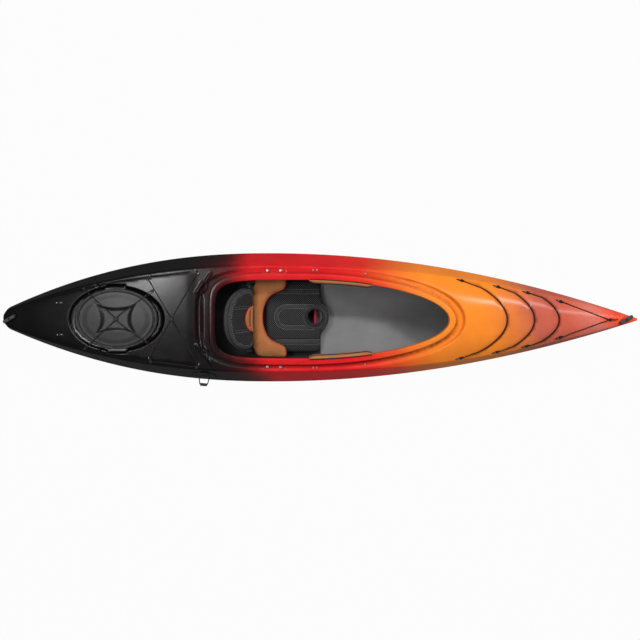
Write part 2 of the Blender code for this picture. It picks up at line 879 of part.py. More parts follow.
def smooth_route(points, spacing, closed=False):
    """Even samples of a smooth curve through a route's points."""
    points = [Vector(point) for point in points]
    count = len(points)
    spans = count if closed else count - 1
    line = []
    for i in range(spans):
        if closed:
            a, b, c, d = (points[(i + k) % count] for k in (-1, 0, 1, 2))
        else:
            a = points[max(i - 1, 0)]
            b = points[i]
            c = points[i + 1]
            d = points[min(i + 2, count - 1)]
        length = (c - b).length
        pieces = max(1, round(length / spacing))
        out = (c - a).normalized() * length
        back = (d - b).normalized() * length
        for k in range(pieces):
            t = k / pieces
            line.append(
                (2 * t**3 - 3 * t**2 + 1) * b
                + (t**3 - 2 * t**2 + t) * out
                + (3 * t**2 - 2 * t**3) * c
                + (t**3 - t**2) * back
            )
    if not closed:
        line.append(points[-1])
    return line


def taut_route(points, spacing, cut=0.008, closed=False):
    """Straight runs between points, with each corner cut by a short bend."""
    points = [Vector(point) for point in points]
    count = len(points)
    corners = []
    for i, point in enumerate(points):
        if not closed and i in (0, count - 1):
            corners.append(point)
            continue
        back = points[i - 1] - point
        ahead = points[(i + 1) % count] - point
        start = point + back.normalized() * min(cut, back.length / 2.2)
        end = point + ahead.normalized() * min(cut, ahead.length / 2.2)
        corners += [start, (start + end + 2 * point) / 4, end]
    line = []
    spans = len(corners) if closed else len(corners) - 1
    for i in range(spans):
        near = corners[i]
        far = corners[(i + 1) % len(corners)]
        pieces = max(1, round((far - near).length / spacing))
        line += [near.lerp(far, k / pieces) for k in range(pieces)]
    if not closed:
        line.append(corners[-1])
    return line


# Deck eyes and cords

def eye_mesh(make):
    """Teardrop base with a wire arch over the cord, made once for every deck eye."""
    outline = []
    for i in range(10):
        turn = 2 * pi * i / 10
        taper = 0.75 + 0.25 * cos(turn)
        outline.append((EYE_LONG / 2 * cos(turn), EYE_WIDE / 2 * sin(turn) * taper))
    base = make.tool(prism("eye_base", outline, 0.0, EYE_BASE))
    arch = [(0, EYE_ARCH * 0.82, EYE_BASE / 2)]
    for i in range(5):
        turn = pi * i / 4
        arch.append((0, EYE_ARCH * cos(turn) * 0.82, EYE_BASE + 0.0015 + EYE_ARCH * sin(turn)))
    arch.append((0, -EYE_ARCH * 0.82, EYE_BASE / 2))
    make.join(base, make.tube_mesh("eye_arch", arch, EYE_WIRE, resolution=0))
    graph = bpy.context.evaluated_depsgraph_get()
    mesh = bpy.data.meshes.new_from_object(base.evaluated_get(graph))
    mesh.name = "deck_eye"
    mesh.materials.clear()
    mesh.materials.append(make.materials["black_plastic"])
    return mesh


def place_eye(make, mesh, surface, name, x, y, forward):
    place, normal = seat_flat(surface, x, y, EYE_LONG / 2, 2 * GAP)
    make.part(name, mesh, "black_plastic", place=place, turn=turn_to(normal, forward))
    return place, normal


def lay_cord(surface, line, eyes, extra=None):
    """Lifts a route on to the deck, and over each eye's base near the eye."""
    laid = []
    for point in line:
        hit, normal = drop_on(surface, point.x, point.y)
        height = CORD_RADIUS + 0.0008
        for place, _ in eyes:
            distance = (Vector((place.x, place.y)) - Vector((point.x, point.y))).length
            near = 1 - smooth_share(distance, EYE_LONG * 0.62, EYE_LONG * 1.5)
            height = max(height, blend(height, EYE_PASS + (place - hit).dot(normal), near))
        if extra:
            height += extra(point)
        laid.append(hit + normal * height)
    return laid


def settle(surface, line, closed=False):
    """Moves a laid cord away from the deck wherever its straight spans come too near."""
    line = [Vector(point) for point in line]
    need = CORD_RADIUS + 0.0006
    spans = len(line) if closed else len(line) - 1
    for _ in range(12):
        for i in range(spans):
            j = (i + 1) % len(line)
            for share in (0.0, 0.2, 0.4, 0.6, 0.8, 1.0):
                point = line[i].lerp(line[j], share)
                near, normal, _, distance = surface.find_nearest(point)
                outside = (point - near).dot(normal) > 0
                away = (point - near).normalized() if outside else normal
                short = need - (distance if outside else -distance)
                if short > 0:
                    line[i] += away * short * (1 - share)
                    line[j] += away * short * share
    return line


def build_front_cords(make, surface, eye):
    """Three cords in the feet of the deck's steps, each held by a pair of eyes."""
    for number in range(3):
        edge = MOAT_FRONT_X + ROW_SETBACKS[number] + ARC_LEAD
        sweep = MOAT_FRONT_X + ARC_APEXES[number] - edge
        row_x = MOAT_FRONT_X + ROW_SETBACKS[number]
        row_y = crease_half(row_x) * ROW_SHARES[number]
        crease = crease_half(edge)
        eyes = []
        ends = {}
        for side, sign in SIDES.items():
            inner_x = edge + sweep * (1 - ARC_END_SHARE**2) + ARC_END_CLEAR
            inner = Vector((inner_x, sign * ARC_END_SHARE * crease, 0))
            out = Vector((row_x, sign * row_y, 0)) - inner
            name = f"front_eye_{number + 1}_{side}"
            eyes.append(place_eye(make, eye, surface, name, row_x, sign * row_y, -out))
            ends[side] = (Vector((row_x, sign * row_y, 0)), out.normalized())
        start, out = ends["port"]
        route = [start + out * EYE_RUN_OUT, start - out * EYE_RUN_IN]
        for share in (ARC_END_SHARE, 0.5, 0.25, 0.0, -0.25, -0.5, -ARC_END_SHARE):
            x = edge + sweep * (1 - share**2) + ARC_FOOT + CORD_RADIUS + ARC_CLEAR
            route.append(Vector((x, share * crease, 0)))
        start, out = ends["starboard"]
        route += [start - out * EYE_RUN_IN, start + out * EYE_RUN_OUT]
        line = settle(surface, lay_cord(surface, smooth_route(route, 5 * CORD), eyes))
        mesh = make.tube_mesh(f"arc_cord_{number + 1}", line, CORD_RADIUS)
        make.part(f"arc_cord_{number + 1}", mesh, "cord_black")


def build_bow_cords(make, deck, surface, eye):
    """Y of cord from the last pair of eyes through a bead and into the deck."""
    row_x = MOAT_FRONT_X + ROW_SETBACKS[3]
    row_y = crease_half(row_x) * ROW_SHARES[3]
    bead_x = HALF_LENGTH - BEAD_TO_BOW
    bead_top, normal = drop_on(surface, bead_x, 0.0)
    high = BEAD_RADIUS + 3 * GAP
    fork_x = bead_x - BEAD_LONG / 2 - 0.006
    arms = []
    for side, sign in SIDES.items():
        start = Vector((row_x, sign * row_y, 0))
        out = (start - Vector((fork_x, 0, 0))).normalized()
        eyes = [place_eye(make, eye, surface, f"front_eye_4_{side}", start.x, start.y, -out)]
        route = [start + out * EYE_RUN_OUT, start - out * EYE_RUN_IN, Vector((fork_x, 0, 0))]
        line = smooth_route(route, 6 * CORD)

        def lift(point):
            return (high - CORD_RADIUS) * smooth_share(point.x, fork_x - 0.05, fork_x)
        arms.append(settle(surface, lay_cord(surface, line, eyes, lift)))
    mesh = make.tube_mesh("bow_cord", arms[0] + arms[1][-2::-1], CORD_RADIUS)
    cord = make.part("bow_cord", mesh, "cord_black")
    hole, down = drop_on(surface, HALF_LENGTH - STEM_TO_BOW, 0.0)
    ahead = Vector((1, 0, 0))
    level = bead_top + normal * high
    route = [level + ahead * (fork_x - bead_x - 0.003), level, level + ahead * (BEAD_LONG / 2 + 0.006)]
    route += [hole - ahead * 0.008 + down * (CORD_RADIUS + 0.001), hole - down * 0.0065]
    stem = smooth_route(route, 0.009)
    make.join(cord, make.tube_mesh("bow_cord_stem", stem, CORD_RADIUS * 0.97))
    stem.append(stem[-1] * 2 - stem[-2])
    make.cut(deck, make.tube_mesh("stem_hole", stem, CORD_RADIUS + GAP))
    bead = make.part(
        "bow_bead", rod("bow_bead", BEAD_RADIUS, -BEAD_LONG / 2, BEAD_LONG / 2, axis="X"),
        "black_plastic", place=level,
    )
    bore = rod("bead_bore", CORD_RADIUS + 2 * GAP, -BEAD_LONG, BEAD_LONG, axis="X", sides=12)
    make.cut(bead, bore, place=level)


def build_rear_bungee(make, surface, eye):
    """One cord in a figure of eight through four eyes, crossing itself on the centreline."""
    aft_x = HATCH_X + HATCH_LONG - BUNGEE_AFT
    fore_x = MOAT_REAR_X + BUNGEE_FORE
    aft_y = crease_half(aft_x) * BUNGEE_AFT_SHARE
    fore_y = crease_half(fore_x) * BUNGEE_FORE_SHARE
    corners = [
        Vector((aft_x, aft_y, 0)), Vector((fore_x, fore_y, 0)),
        Vector((aft_x, -aft_y, 0)), Vector((fore_x, -fore_y, 0)),
    ]
    names = ("rear_eye_aft_port", "rear_eye_fore_port", "rear_eye_aft_starboard", "rear_eye_fore_starboard")
    eyes = []
    route = []
    for i, (corner, name) in enumerate(zip(corners, names)):
        came = (corner - corners[i - 1]).normalized()
        goes = (corners[(i + 1) % 4] - corner).normalized()
        along = (came + goes).normalized()
        eyes.append(place_eye(make, eye, surface, name, corner.x, corner.y, along))
        route += [corner - along * EYE_RUN_OUT, corner + along * EYE_RUN_OUT]
    crossing = fore_x - (fore_x - aft_x) * fore_y / (fore_y + aft_y)
    flat = taut_route(route, 0.070, closed=True)
    over = set(range(len(flat) // 2, len(flat)))
    lifted = []
    for i, point in enumerate(flat):
        distance = sqrt((point.x - crossing) ** 2 + point.y**2)
        rise = (CORD + 0.002) * (1 - smooth_share(distance, 0.025, 0.10)) if i in over else 0.0
        lifted += lay_cord(surface, [point], eyes, lambda _, rise=rise: rise)
    lifted = settle(surface, lifted, closed=True)
    mesh = make.tube_mesh("rear_bungee", lifted, CORD_RADIUS, closed=True)
    make.part("rear_bungee", mesh, "cord_black")
    low = drop_on(surface, crossing, 0.0)[0].z + GAP
    clip = rod("bungee_clip", CLIP_RADIUS, low, low + 2 * CORD + 0.0065, sides=18)
    clip_part = make.part("bungee_clip", clip, "black_plastic", place=(crossing, 0, 0))
    make.cut(clip_part, make.tube_mesh("clip_bore", lifted, CORD_RADIUS + 2 * GAP, closed=True))
    stern_x = HATCH_X - STERN_EYES
    stern_y = crease_half(stern_x) * STERN_EYE_SHARE
    for side, sign in SIDES.items():
        place_eye(make, eye, surface, f"stern_eye_{side}", stern_x, sign * stern_y, (1, 0, 0))


# Hatch

def build_hatch(make, surface):
    neck_long = HATCH_LONG - NECK_INSET
    neck_wide = HATCH_HALF - NECK_INSET
    seal = []
    for inset, z in (
        (0.0005, NECK_TOP + GAP), (NECK_WALL + 0.004, NECK_TOP + GAP),
        (NECK_WALL + 0.004, NECK_TOP + GAP + GASKET), (0.0005, NECK_TOP + GAP + GASKET),
    ):
        ring = ellipse(neck_long - inset, neck_wide - inset, HATCH_AROUND, (HATCH_X, 0))
        seal.append([(x, y, z) for x, y in ring])
    make.part("hatch_gasket", ring_loft("hatch_gasket", seal), "lid_rubber")

    def lid_loop(share, height):
        loop = []
        for x, y in ellipse(HATCH_LONG * share, HATCH_HALF * share, HATCH_AROUND):
            turn = 2 * pi * len(loop) / HATCH_AROUND
            lobe = smooth_share(cos(2 * turn) ** 2, 0.15, 0.75)
            sunk = lobe * smooth_share(share, 0.34, 0.46) * (1 - smooth_share(share, 0.80, 0.90))
            loop.append((x, y, height - LID_RELIEF * sunk - LID_UNDER))
        return loop

    skirt = 1 - 0.006 / HATCH_HALF
    loops = [lid_loop(share, LID_TOP) for share in (0.33, 0.47, 0.79)]
    loops += [lid_loop(0.90, LID_TOP - 0.001), lid_loop(0.925, LID_EDGE - 0.002)]
    loops += [lid_loop(0.945, LID_EDGE), lid_loop(0.985, LID_EDGE), lid_loop(1.0, LID_EDGE - 0.003)]
    loops += [lid_loop(1.0, HATCH_FLOOR + 0.003), lid_loop(skirt, HATCH_FLOOR + 0.003)]
    loops += [lid_loop(skirt, LID_UNDER), lid_loop(0.30, LID_UNDER)]
    top = (0, 0, LID_TOP - LID_UNDER)
    lid = dome_loft("hatch_lid", loops, top, (0, 0, 0))
    lid_pivot = make.pivot("hatch_lift", (HATCH_X, 0, LID_UNDER))
    lid_surface = surface_of(lid)
    lid_part = make.part("hatch_lid", lid, "lid_rubber", parent=lid_pivot)
    rise = LID_TOP - LID_UNDER
    post = rod("button_post", BUTTON_RADIUS, rise - 0.003, rise + CORD + 0.003, sides=12)
    make.join(lid_part, post, parent=lid_pivot)
    cap = rod("button_cap", BUTTON_CAP, rise + CORD + 0.002, rise + CORD + 0.006, sides=14)
    make.join(lid_part, cap, parent=lid_pivot)
    base = rod("peg_base", PEG_BASE, 0.0, 0.003, sides=14)
    for side, sign in SIDES.items():
        spots = {}
        for end, turn in PEG_TURNS.items():
            reach = (HATCH_LONG + HATCH_MOAT_LONG + PEG_OUT) * cos(radians(turn))
            half = (HATCH_HALF + HATCH_MOAT_SIDE + PEG_OUT) * sin(radians(turn))
            place = seat_level(surface, HATCH_X + reach, sign * half, PEG_BASE)
            hook = make.part(f"hatch_peg_{end}_{side}", base.copy(), "black_plastic", place=place)
            make.join(hook, rod("peg", PEG_RADIUS, 0.001, PEG_HEIGHT, sides=12), place=place)
            spots[end] = place
        build_lid_cord(make, lid_pivot, lid_surface, side, sign, spots)


def build_lid_cord(make, lid_pivot, lid_surface, side, sign, spots):
    """V of cord from peg to peg round the lid's button, with a loop over each peg."""
    centre = Vector((HATCH_X, 0, 0))
    level = LID_TOP + CORD_RADIUS + 0.0006
    past_button = Vector((HATCH_X, sign * (BUTTON_RADIUS + CORD_RADIUS + 0.0008), level))
    loop_gap = PEG_RADIUS + CORD_RADIUS + 2 * GAP
    loops = []
    arms = []
    for end, long in (("aft", 0.020), ("fore", 0.044)):
        place = spots[end]
        flat = Vector((place.x, place.y, 0))
        inward = (centre + Vector((0, past_button.y, 0)) - flat).normalized()
        across = Vector((-inward.y, inward.x, 0))
        height = place.z + 0.003 + CORD_RADIUS + 0.0008
        loop = []
        for i in range(10):
            turn = 2 * pi * i / 10
            stretch = long if cos(turn) > 0 else 0.0
            at = flat + inward * (stretch + loop_gap * cos(turn)) + across * loop_gap * sin(turn)
            loop.append((at.x, at.y, height))
        loops.append(loop)
        start = flat + inward * (long + loop_gap - CORD_RADIUS * 0.4)
        start.z = height
        edge = flat + inward * 0.082
        edge.z = level
        step = flat + inward * 0.060
        step.z = max(height + 0.001, blend(height, level, 0.72))
        if long > 0.03:
            step = flat + inward * 0.070
            step.z = blend(height, level, 0.5)
        arms.append([start, step, edge])
    bend = sign * 0.004
    route = arms[0] + [
        past_button + Vector((-0.030, sign * 0.022, 0)),
        past_button + Vector((-0.006, bend * 0.4, 0)),
        past_button + Vector((0.006, bend * 0.4, 0)),
        past_button + Vector((0.030, sign * 0.022, 0)),
    ] + arms[1][::-1]
    drop = Vector((HATCH_X, 0, LID_UNDER))
    line = settle(lid_surface, [point - drop for point in taut_route(route, 0.050)])
    name = f"lid_cord_{side}"
    mesh = make.tube_mesh(name, line, CORD_RADIUS)
    cord = make.part(name, mesh, "cord_black", parent=lid_pivot)
    for loop in loops:
        points = [Vector(point) - drop for point in loop]
        ring = make.tube_mesh(f"{name}_loop", points, CORD_RADIUS * 1.02, closed=True)
        make.join(cord, ring, parent=lid_pivot)


# Carry toggles

def build_toggles(make, surface):
    for end, x in toggle_places().items():
        top, normal = drop_on(surface, x, 0.0)
        lift = TOGGLE_RADIUS + 0.001
        pivot = make.pivot(f"{end}_toggle_lift", (x, 0, top.z + lift), (0, 0, radians(TOGGLE_TURN)))
        half = TOGGLE_LONG / 2
        rings = [(-half, 0.55), (-half + 0.003, 0.80)]
        steps = 2 * TOGGLE_RIBS
        for i in range(steps + 1):
            rings.append((blend(-half + 0.012, half - 0.012, i / steps), 1.0 if i % 2 else 0.90))
        rings += [(half - 0.003, 0.80), (half, 0.55)]
        loops = []
        for place, share in rings:
            radius = TOGGLE_RADIUS * share
            loops.append([(place, y, z) for y, z in ellipse(radius, radius, 12)])
        grip = make.part(f"{end}_toggle", loft(f"{end}_toggle", loops), "grey_grip", parent=pivot)
        make.cut(grip, rod(f"{end}_cord_hole", CORD_RADIUS + GAP, -0.05, 0.05, sides=12), parent=pivot)
        low = -lift - TOGGLE_CORD_DEPTH
        cord = rod(f"{end}_toggle_cord", CORD_RADIUS, low, TOGGLE_RADIUS + 0.002, sides=12)
        cord_part = make.part(f"{end}_toggle_cord", cord, "cord_black", parent=pivot)
        knot = make.tube_mesh(
            f"{end}_knot", [(0.0, 0, TOGGLE_RADIUS + 0.0045), (0.0, 0, TOGGLE_RADIUS + GAP)], 0.0055,
        )
        make.join(cord_part, knot, parent=pivot)


# Bulkhead and bow pillar

def floor_under(floor, x, y):
    point, _, _, _ = floor.ray_cast(Vector((x, y, 0.16)), Vector((0, 0, -1)))
    return point.z


def ceiling_over(ceiling, x, y):
    point, _, _, _ = ceiling.ray_cast(Vector((x, y, 0.28)), Vector((0, 0, 1)))
    return point.z


def build_foam(make, floor, ceiling):
    sections = []
    for x in (BULKHEAD_X - BULKHEAD_THICK, BULKHEAD_X):
        below = inset_line(hull_line(x), WALL + GAP)
        above = inset_line(deck_line(x), WALL + GAP)
        sections.append([(x, y, z) for y, z in below + above[1:-1]])
    make.part("bulkhead", loft("bulkhead", sections), "grey_foam")
    half = PILLAR_THICK / 2
    aft, fore = PILLAR_X
    tops = []
    for i in range(251):
        x = blend(aft, fore, i / 250)
        tops.append((x, min(ceiling_over(ceiling, x, y) for y in (0.0, half, -half))))
    slope = (tops[-1][1] - tops[0][1]) / (fore - aft)
    start = min(z - slope * (x - aft) for x, z in tops) - 4 * GAP
    outline = [(fore, start + slope * (fore - aft)), (aft, start)]
    for x in stations(aft, fore):
        low = max(floor_under(floor, x, y) for y in (0.0, half * 0.5, half, -half))
        outline.append((x, low + 2 * GAP))
    plank = [[(x, y, z) for x, z in outline] for y in (-half, half)]
    make.part("bow_pillar", loft("bow_pillar", plank), "grey_foam")


# Seat

def cushion_mesh(name, long, wide, height, base, power, grooves, tuck):
    """Closed pad over a rectangle: crowned top, drawn-in sides and pressed grooves."""
    rows = 12
    cols = 16

    def surface(i, j, top):
        u = 2 * i / rows - 1
        v = 2 * j / cols - 1
        far = max(abs(u), abs(v))
        corner = (abs(u / far) ** 7 + abs(v / far) ** 7) ** (-1 / 7) if far else 1.0
        pull_x = corner * (1 - tuck * (1 - v * v))
        pull_y = corner * (1 - tuck * (1 - u * u))
        crown = (max(0.0, 1 - abs(u) ** power) * max(0.0, 1 - abs(v) ** power)) ** 0.5
        x = u * long / 2 * pull_x
        y = v * wide / 2 * pull_y
        depth = max([groove(x, y) for groove in grooves] + [0.0])
        edge = base + height * 0.42
        if top:
            return (x, y, edge + (height * 0.58) * crown * (1 - depth))
        return (x, y, edge - height * 0.42 * min(1.0, crown * 1.9))

    points = []
    faces = []
    index = {}
    for top in (True, False):
        for i in range(rows + 1):
            for j in range(cols + 1):
                rim = i in (0, rows) or j in (0, cols)
                key = (i, j, rim or top)
                if key not in index:
                    index[key] = len(points)
                    points.append(surface(i, j, top))
        for i in range(rows):
            for j in range(cols):
                corners = ((i, j), (i + 1, j), (i + 1, j + 1), (i, j + 1))
                face = []
                for a, b in corners:
                    rim = a in (0, rows) or b in (0, cols)
                    face.append(index[(a, b, rim or top)])
                inner = (i in (0, rows - 1)) and (j in (0, cols - 1))
                if inner:
                    turn = 0 if (i == 0) == (j == 0) else 1
                    face = face[turn:] + face[:turn]
                    faces += [(face[0], face[1], face[2]), (face[0], face[2], face[3])]
                else:
                    faces.append(tuple(face))
    return closed_mesh(name, points, faces)


def groove_line(centre, half, depth, along_x):
    """Sewn channel at a fixed y (or x), as a share of the crown pressed away."""
    def pressed(x, y):
        offset = (y if along_x else x) - centre
        return depth * max(0.0, 1 - (offset / half) ** 2)
    return pressed


def build_seat_pan(make, floor):
    back = PAN_REAR
    outline = [
        (back, -SEAT_HALF), (SEAT_FRONT - 0.03, -SEAT_HALF), (SEAT_FRONT, -SEAT_HALF + 0.05),
        (SEAT_FRONT, SEAT_HALF - 0.05), (SEAT_FRONT - 0.03, SEAT_HALF), (back, SEAT_HALF),
    ]
    pan = make.part("seat_pan", prism("seat_pan", outline, PAN_TOP - PAN_THICK, PAN_TOP), "black_plastic")
    for sign in SIDES.values():
        low = -1.0
        for x in (back + 0.02, 0.0, SEAT_FRONT - 0.02):
            for y in (RUNNER_Y - RUNNER_WIDE / 2, RUNNER_Y + RUNNER_WIDE / 2):
                low = max(low, floor_under(floor, x, y))
        near = sign * (RUNNER_Y - RUNNER_WIDE / 2)
        far = sign * (RUNNER_Y + RUNNER_WIDE / 2)
        corner_low = (back + 0.02, min(near, far), low + GAP)
        corner_high = (SEAT_FRONT - 0.02, max(near, far), PAN_TOP - PAN_THICK / 2)
        make.join(pan, block("runner", corner_low, corner_high))
        inner = sign * (BACK_HALF + 0.008)
        outer = inner + sign * UPRIGHT_THICK
        low_y, high_y = min(inner, outer), max(inner, outer)
        rear = BACK_PIVOT_X - UPRIGHT_LONG / 2
        front = BACK_PIVOT_X + UPRIGHT_LONG / 2
        top = BACK_PIVOT_Z + 0.012
        side_outline = [
            (rear, PAN_TOP - PAN_THICK / 2), (front + 0.03, PAN_TOP - PAN_THICK / 2),
            (front, PAN_TOP + 0.05), (front - 0.004, top), (rear + 0.004, top),
        ]
        side = [[(x, y, z) for x, z in side_outline] for y in (low_y, high_y)]
        make.join(pan, loft("upright", side))
    bore = rod("pin_bore", PIN_RADIUS + GAP, -SEAT_HALF, SEAT_HALF, axis="Y", sides=14)
    make.cut(pan, bore, place=(BACK_PIVOT_X, 0, BACK_PIVOT_Z))
    hole = rod("cup_well", CUP_INNER, 0.0, 0.2, sides=24)
    make.cut(pan, hole, place=(CUP_X, 0, 0))
    reach = BACK_HALF + 0.008 + UPRIGHT_THICK + 0.003
    pin = rod("backrest_pin", PIN_RADIUS, -reach, reach, axis="Y", sides=14)
    make.part("backrest_pin", pin, "steel", place=(BACK_PIVOT_X, 0, BACK_PIVOT_Z))
    strap = block(
        "leg_lift_strap", (-STRAP_WIDE / 2, -0.120, 0.0), (STRAP_WIDE / 2, 0.120, STRAP_THICK),
    )
    make.part("leg_lift_strap", strap, "red_webbing", place=(CUP_X, 0, PAN_TOP + GAP))
    return pan


def build_seat_pads(make):
    long = SEAT_FRONT + 0.012 - SEAT_REAR
    middle = (SEAT_FRONT + 0.012 + SEAT_REAR) / 2

    def rib(x, y):
        along = x + middle
        inside = -0.345 < along < -0.070
        offset = abs(abs(y) - 0.062)
        return 0.30 * max(0.0, 1 - (offset / 0.014) ** 2) if inside else 0.0

    grooves = [rib, groove_line(-0.150, 0.014, 0.30, True), groove_line(0.150, 0.014, 0.30, True)]
    pad = cushion_mesh("seat_base_pad", long, 2 * SEAT_HALF, PAD_THICK, 0.0, 8, grooves, 0.03)
    base = make.part("seat_base_pad", pad, "black_mesh", place=(middle, 0, PAD_BOTTOM))
    well = rod("pad_well", CUP_OUTER - 0.006 + GAP, -0.01, 0.2, sides=24)
    make.cut(base, well, place=(CUP_X, 0, 0))
    ring = rod("cup_ring", CUP_OUTER - 0.006, PAD_BOTTOM + GAP, PAD_TOP + CUP_RISE - 0.004, sides=24)
    cup = make.part("cup_ring", ring, "black_plastic", place=(CUP_X, 0, 0))
    lip = rod("cup_lip", CUP_OUTER, PAD_TOP + GAP, PAD_TOP + CUP_RISE, sides=24)
    make.join(cup, lip, place=(CUP_X, 0, 0))
    make.cut(cup, rod("cup_bore", CUP_INNER, 0.0, 0.3, sides=24), place=(CUP_X, 0, 0))
    build_bolster(make)


def build_bolster(make):
    """C-shaped pad behind and beside the hips, from one arm's tip to the other's."""
    side = SEAT_HALF - BOLSTER_SIDE
    tip = side - BOLSTER_ARM
    rear = SEAT_REAR - BOLSTER_REAR
    near = rear + BOLSTER_THICK
    run = BOLSTER_TIP_X - near
    inner = [
        (BOLSTER_TIP_X, tip), (near + run * 0.54, tip * 0.79), (near + run * 0.22, tip * 0.61),
        (near + run * 0.06, tip * 0.37), (near, 0.0),
    ]
    outer = [
        (BOLSTER_TIP_X, side), (near + run * 0.39, side), (rear + run * 0.22, side * 0.975),
        (rear + run * 0.02, side * 0.51), (rear, 0.0),
    ]
    inner += [(x, -y) for x, y in inner[-2::-1]]
    outer += [(x, -y) for x, y in outer[-2::-1]]
    inside = smooth_route([(x, y, 0) for x, y in inner], BOLSTER_STEP)
    steps = len(inside)
    outside_line = smooth_route([(x, y, 0) for x, y in outer], BOLSTER_STEP / 8)
    outside = [outside_line[round(i * (len(outside_line) - 1) / (steps - 1))] for i in range(steps)]
    sections = []
    low = PAD_TOP + GAP
    for i, (near, far) in enumerate(zip(inside, outside)):
        end = min(i, steps - 1 - i)
        swell = min(1.0, 0.55 + 0.2 * end)
        high = low + (BOLSTER_TOP - low) * swell
        section = []
        for k in range(12):
            turn = 2 * pi * k / 12
            across = 0.5 + 0.5 * (abs(cos(turn)) ** 0.7) * (1 if cos(turn) > 0 else -1)
            up = 0.5 + 0.5 * (abs(sin(turn)) ** 0.7) * (1 if sin(turn) > 0 else -1)
            place = near.lerp(far, across)
            section.append((place.x, place.y, blend(low, high, up)))
        sections.append(section)
    bolster = make.part("hip_bolster", loft("hip_bolster", sections), "tan_pad")
    foot = block(
        "bolster_foot", (SEAT_REAR - BOLSTER_FOOT[1], -BOLSTER_FOOT_HALF, PAN_TOP + GAP),
        (SEAT_REAR - BOLSTER_FOOT[0], BOLSTER_FOOT_HALF, PAD_TOP + 0.02),
    )
    make.join(bolster, foot)


def build_backrest(make):
    """Reclined cushion on a board that turns on the pin."""
    pivot = make.pivot("backrest_recline", (BACK_PIVOT_X, 0, BACK_PIVOT_Z), (0, radians(-BACK_RECLINE), 0))
    rear = -KNUCKLE_RADIUS
    board = block(
        "backrest_board", (rear, -BACK_HALF + 0.010, 0.0),
        (rear + BACK_BOARD, BACK_HALF - 0.010, BACK_HEIGHT - 0.012),
    )
    frame = make.part("backrest_board", board, "black_plastic", parent=pivot)
    knuckle = rod("knuckle", KNUCKLE_RADIUS, -BACK_HALF + 0.004, BACK_HALF - 0.004, axis="Y", sides=18)
    make.join(frame, knuckle, parent=pivot)
    bore = rod("knuckle_bore", PIN_RADIUS + GAP, -BACK_HALF, BACK_HALF, axis="Y", sides=14)
    make.cut(frame, bore, parent=pivot)
    grooves = [
        groove_line(-BACK_PANEL, 0.012, 0.45, True),
        groove_line(BACK_PANEL, 0.012, 0.45, True),
    ]
    low = KNUCKLE_RADIUS + 0.003
    high = BACK_HEIGHT
    pad = cushion_mesh("backrest_pad", high - low, 2 * BACK_HALF, BACK_THICK, 0.0, 5, grooves, 0.04)
    turn = Matrix.Rotation(pi / 2, 4, "Y")
    pad.transform(Matrix.Translation((rear + BACK_BOARD + GAP, 0, (low + high) / 2)) @ turn)
    pad.update()
    make.part("backrest_pad", pad, "black_mesh", parent=pivot)
    front = rear + BACK_BOARD + GAP + BACK_THICK + GAP
    count = 14
    tab = [(y, z) for y, z in ((TAB_RADIUS * cos(pi * i / count), TAB_RADIUS * sin(pi * i / count))
                               for i in range(count + 1))]
    tab_mesh = side_prism("lumbar_tab", tab, front, front + TAB_THICK)
    make.part("lumbar_tab", tab_mesh, "tan_pad", place=(0, 0, low + 0.012), parent=pivot)


def build_hangers(make, pan, ledge):
    """Side arms that hang the seat pan from the ledge, and their bolts."""
    middle = sum(BOLT_X) / 2
    low_x = middle - HANGER_LONG / 2
    high_x = middle + HANGER_LONG / 2
    for side, sign in SIDES.items():
        under = 1.0
        for x in (low_x, middle, high_x):
            for y in (BOLT_Y - 0.012, BOLT_Y + 0.010):
                point, _, _, _ = ledge.ray_cast(Vector((x, sign * y, 0.1)), Vector((0, 0, 1)))
                under = min(under, point.z)
        top = under - GAP
        foot = SEAT_HALF + GAP
        outline = [
            (BOLT_Y + 0.010, top), (BOLT_Y - 0.012, top), (foot + 0.002, PAN_TOP + 0.03),
            (foot, PAN_TOP + 0.002), (foot - 0.010, PAN_TOP - 0.003), (foot - 0.010, PAN_TOP - 0.016),
            (foot + HANGER_THICK, PAN_TOP - 0.014), (foot + HANGER_THICK, PAN_TOP + 0.002),
            (foot + HANGER_THICK + 0.002, PAN_TOP + 0.03),
            (BOLT_Y - 0.012 + HANGER_THICK, top - HANGER_THICK), (BOLT_Y + 0.010, top - HANGER_THICK),
        ]
        outline = [(sign * y, z) for y, z in outline]
        make.join(pan, side_prism(f"seat_hanger_{side}", outline, low_x, high_x))
        for number, x in enumerate(BOLT_X):
            y = sign * BOLT_Y
            place, _ = seat_flat(ledge, x, y, BOLT_HEAD)
            hole = rod("hanger_hole", BOLT_RADIUS + GAP, top - 0.05, top + 0.05, sides=12)
            make.cut(pan, hole, place=(x, y, 0))
            name = f"seat_bolt_{'rear' if number == 0 else 'front'}_{side}"
            shank = top - HANGER_THICK - 0.006 - place.z
            bolt = make.part(name, rod(name, BOLT_RADIUS, shank, 0.001, sides=12), "steel", place=place)
            rings = [(0.0, 1.0), (0.0015, 0.97), (0.003, 0.70), (0.0036, 0.30)]
            head = []
            for z, share in rings:
                head.append([(px, py, z) for px, py in ellipse(BOLT_HEAD * share, BOLT_HEAD * share, 14)])
            make.join(bolt, loft("bolt_head", head), place=place)


# Thigh pads

def turns_between(low_x, high_x, pieces):
    """Turns round the cockpit whose inner-edge points run from one x to another."""
    found = []
    for i in range(pieces + 1):
        x = blend(low_x, high_x, i / pieces)
        low, high = 0.0, pi
        for _ in range(40):
            mid = (low + high) / 2
            if outline_point(COCKPIT_INNER, mid)[0] > x:
                low = mid
            else:
                high = mid
        found.append(mid)
    return found


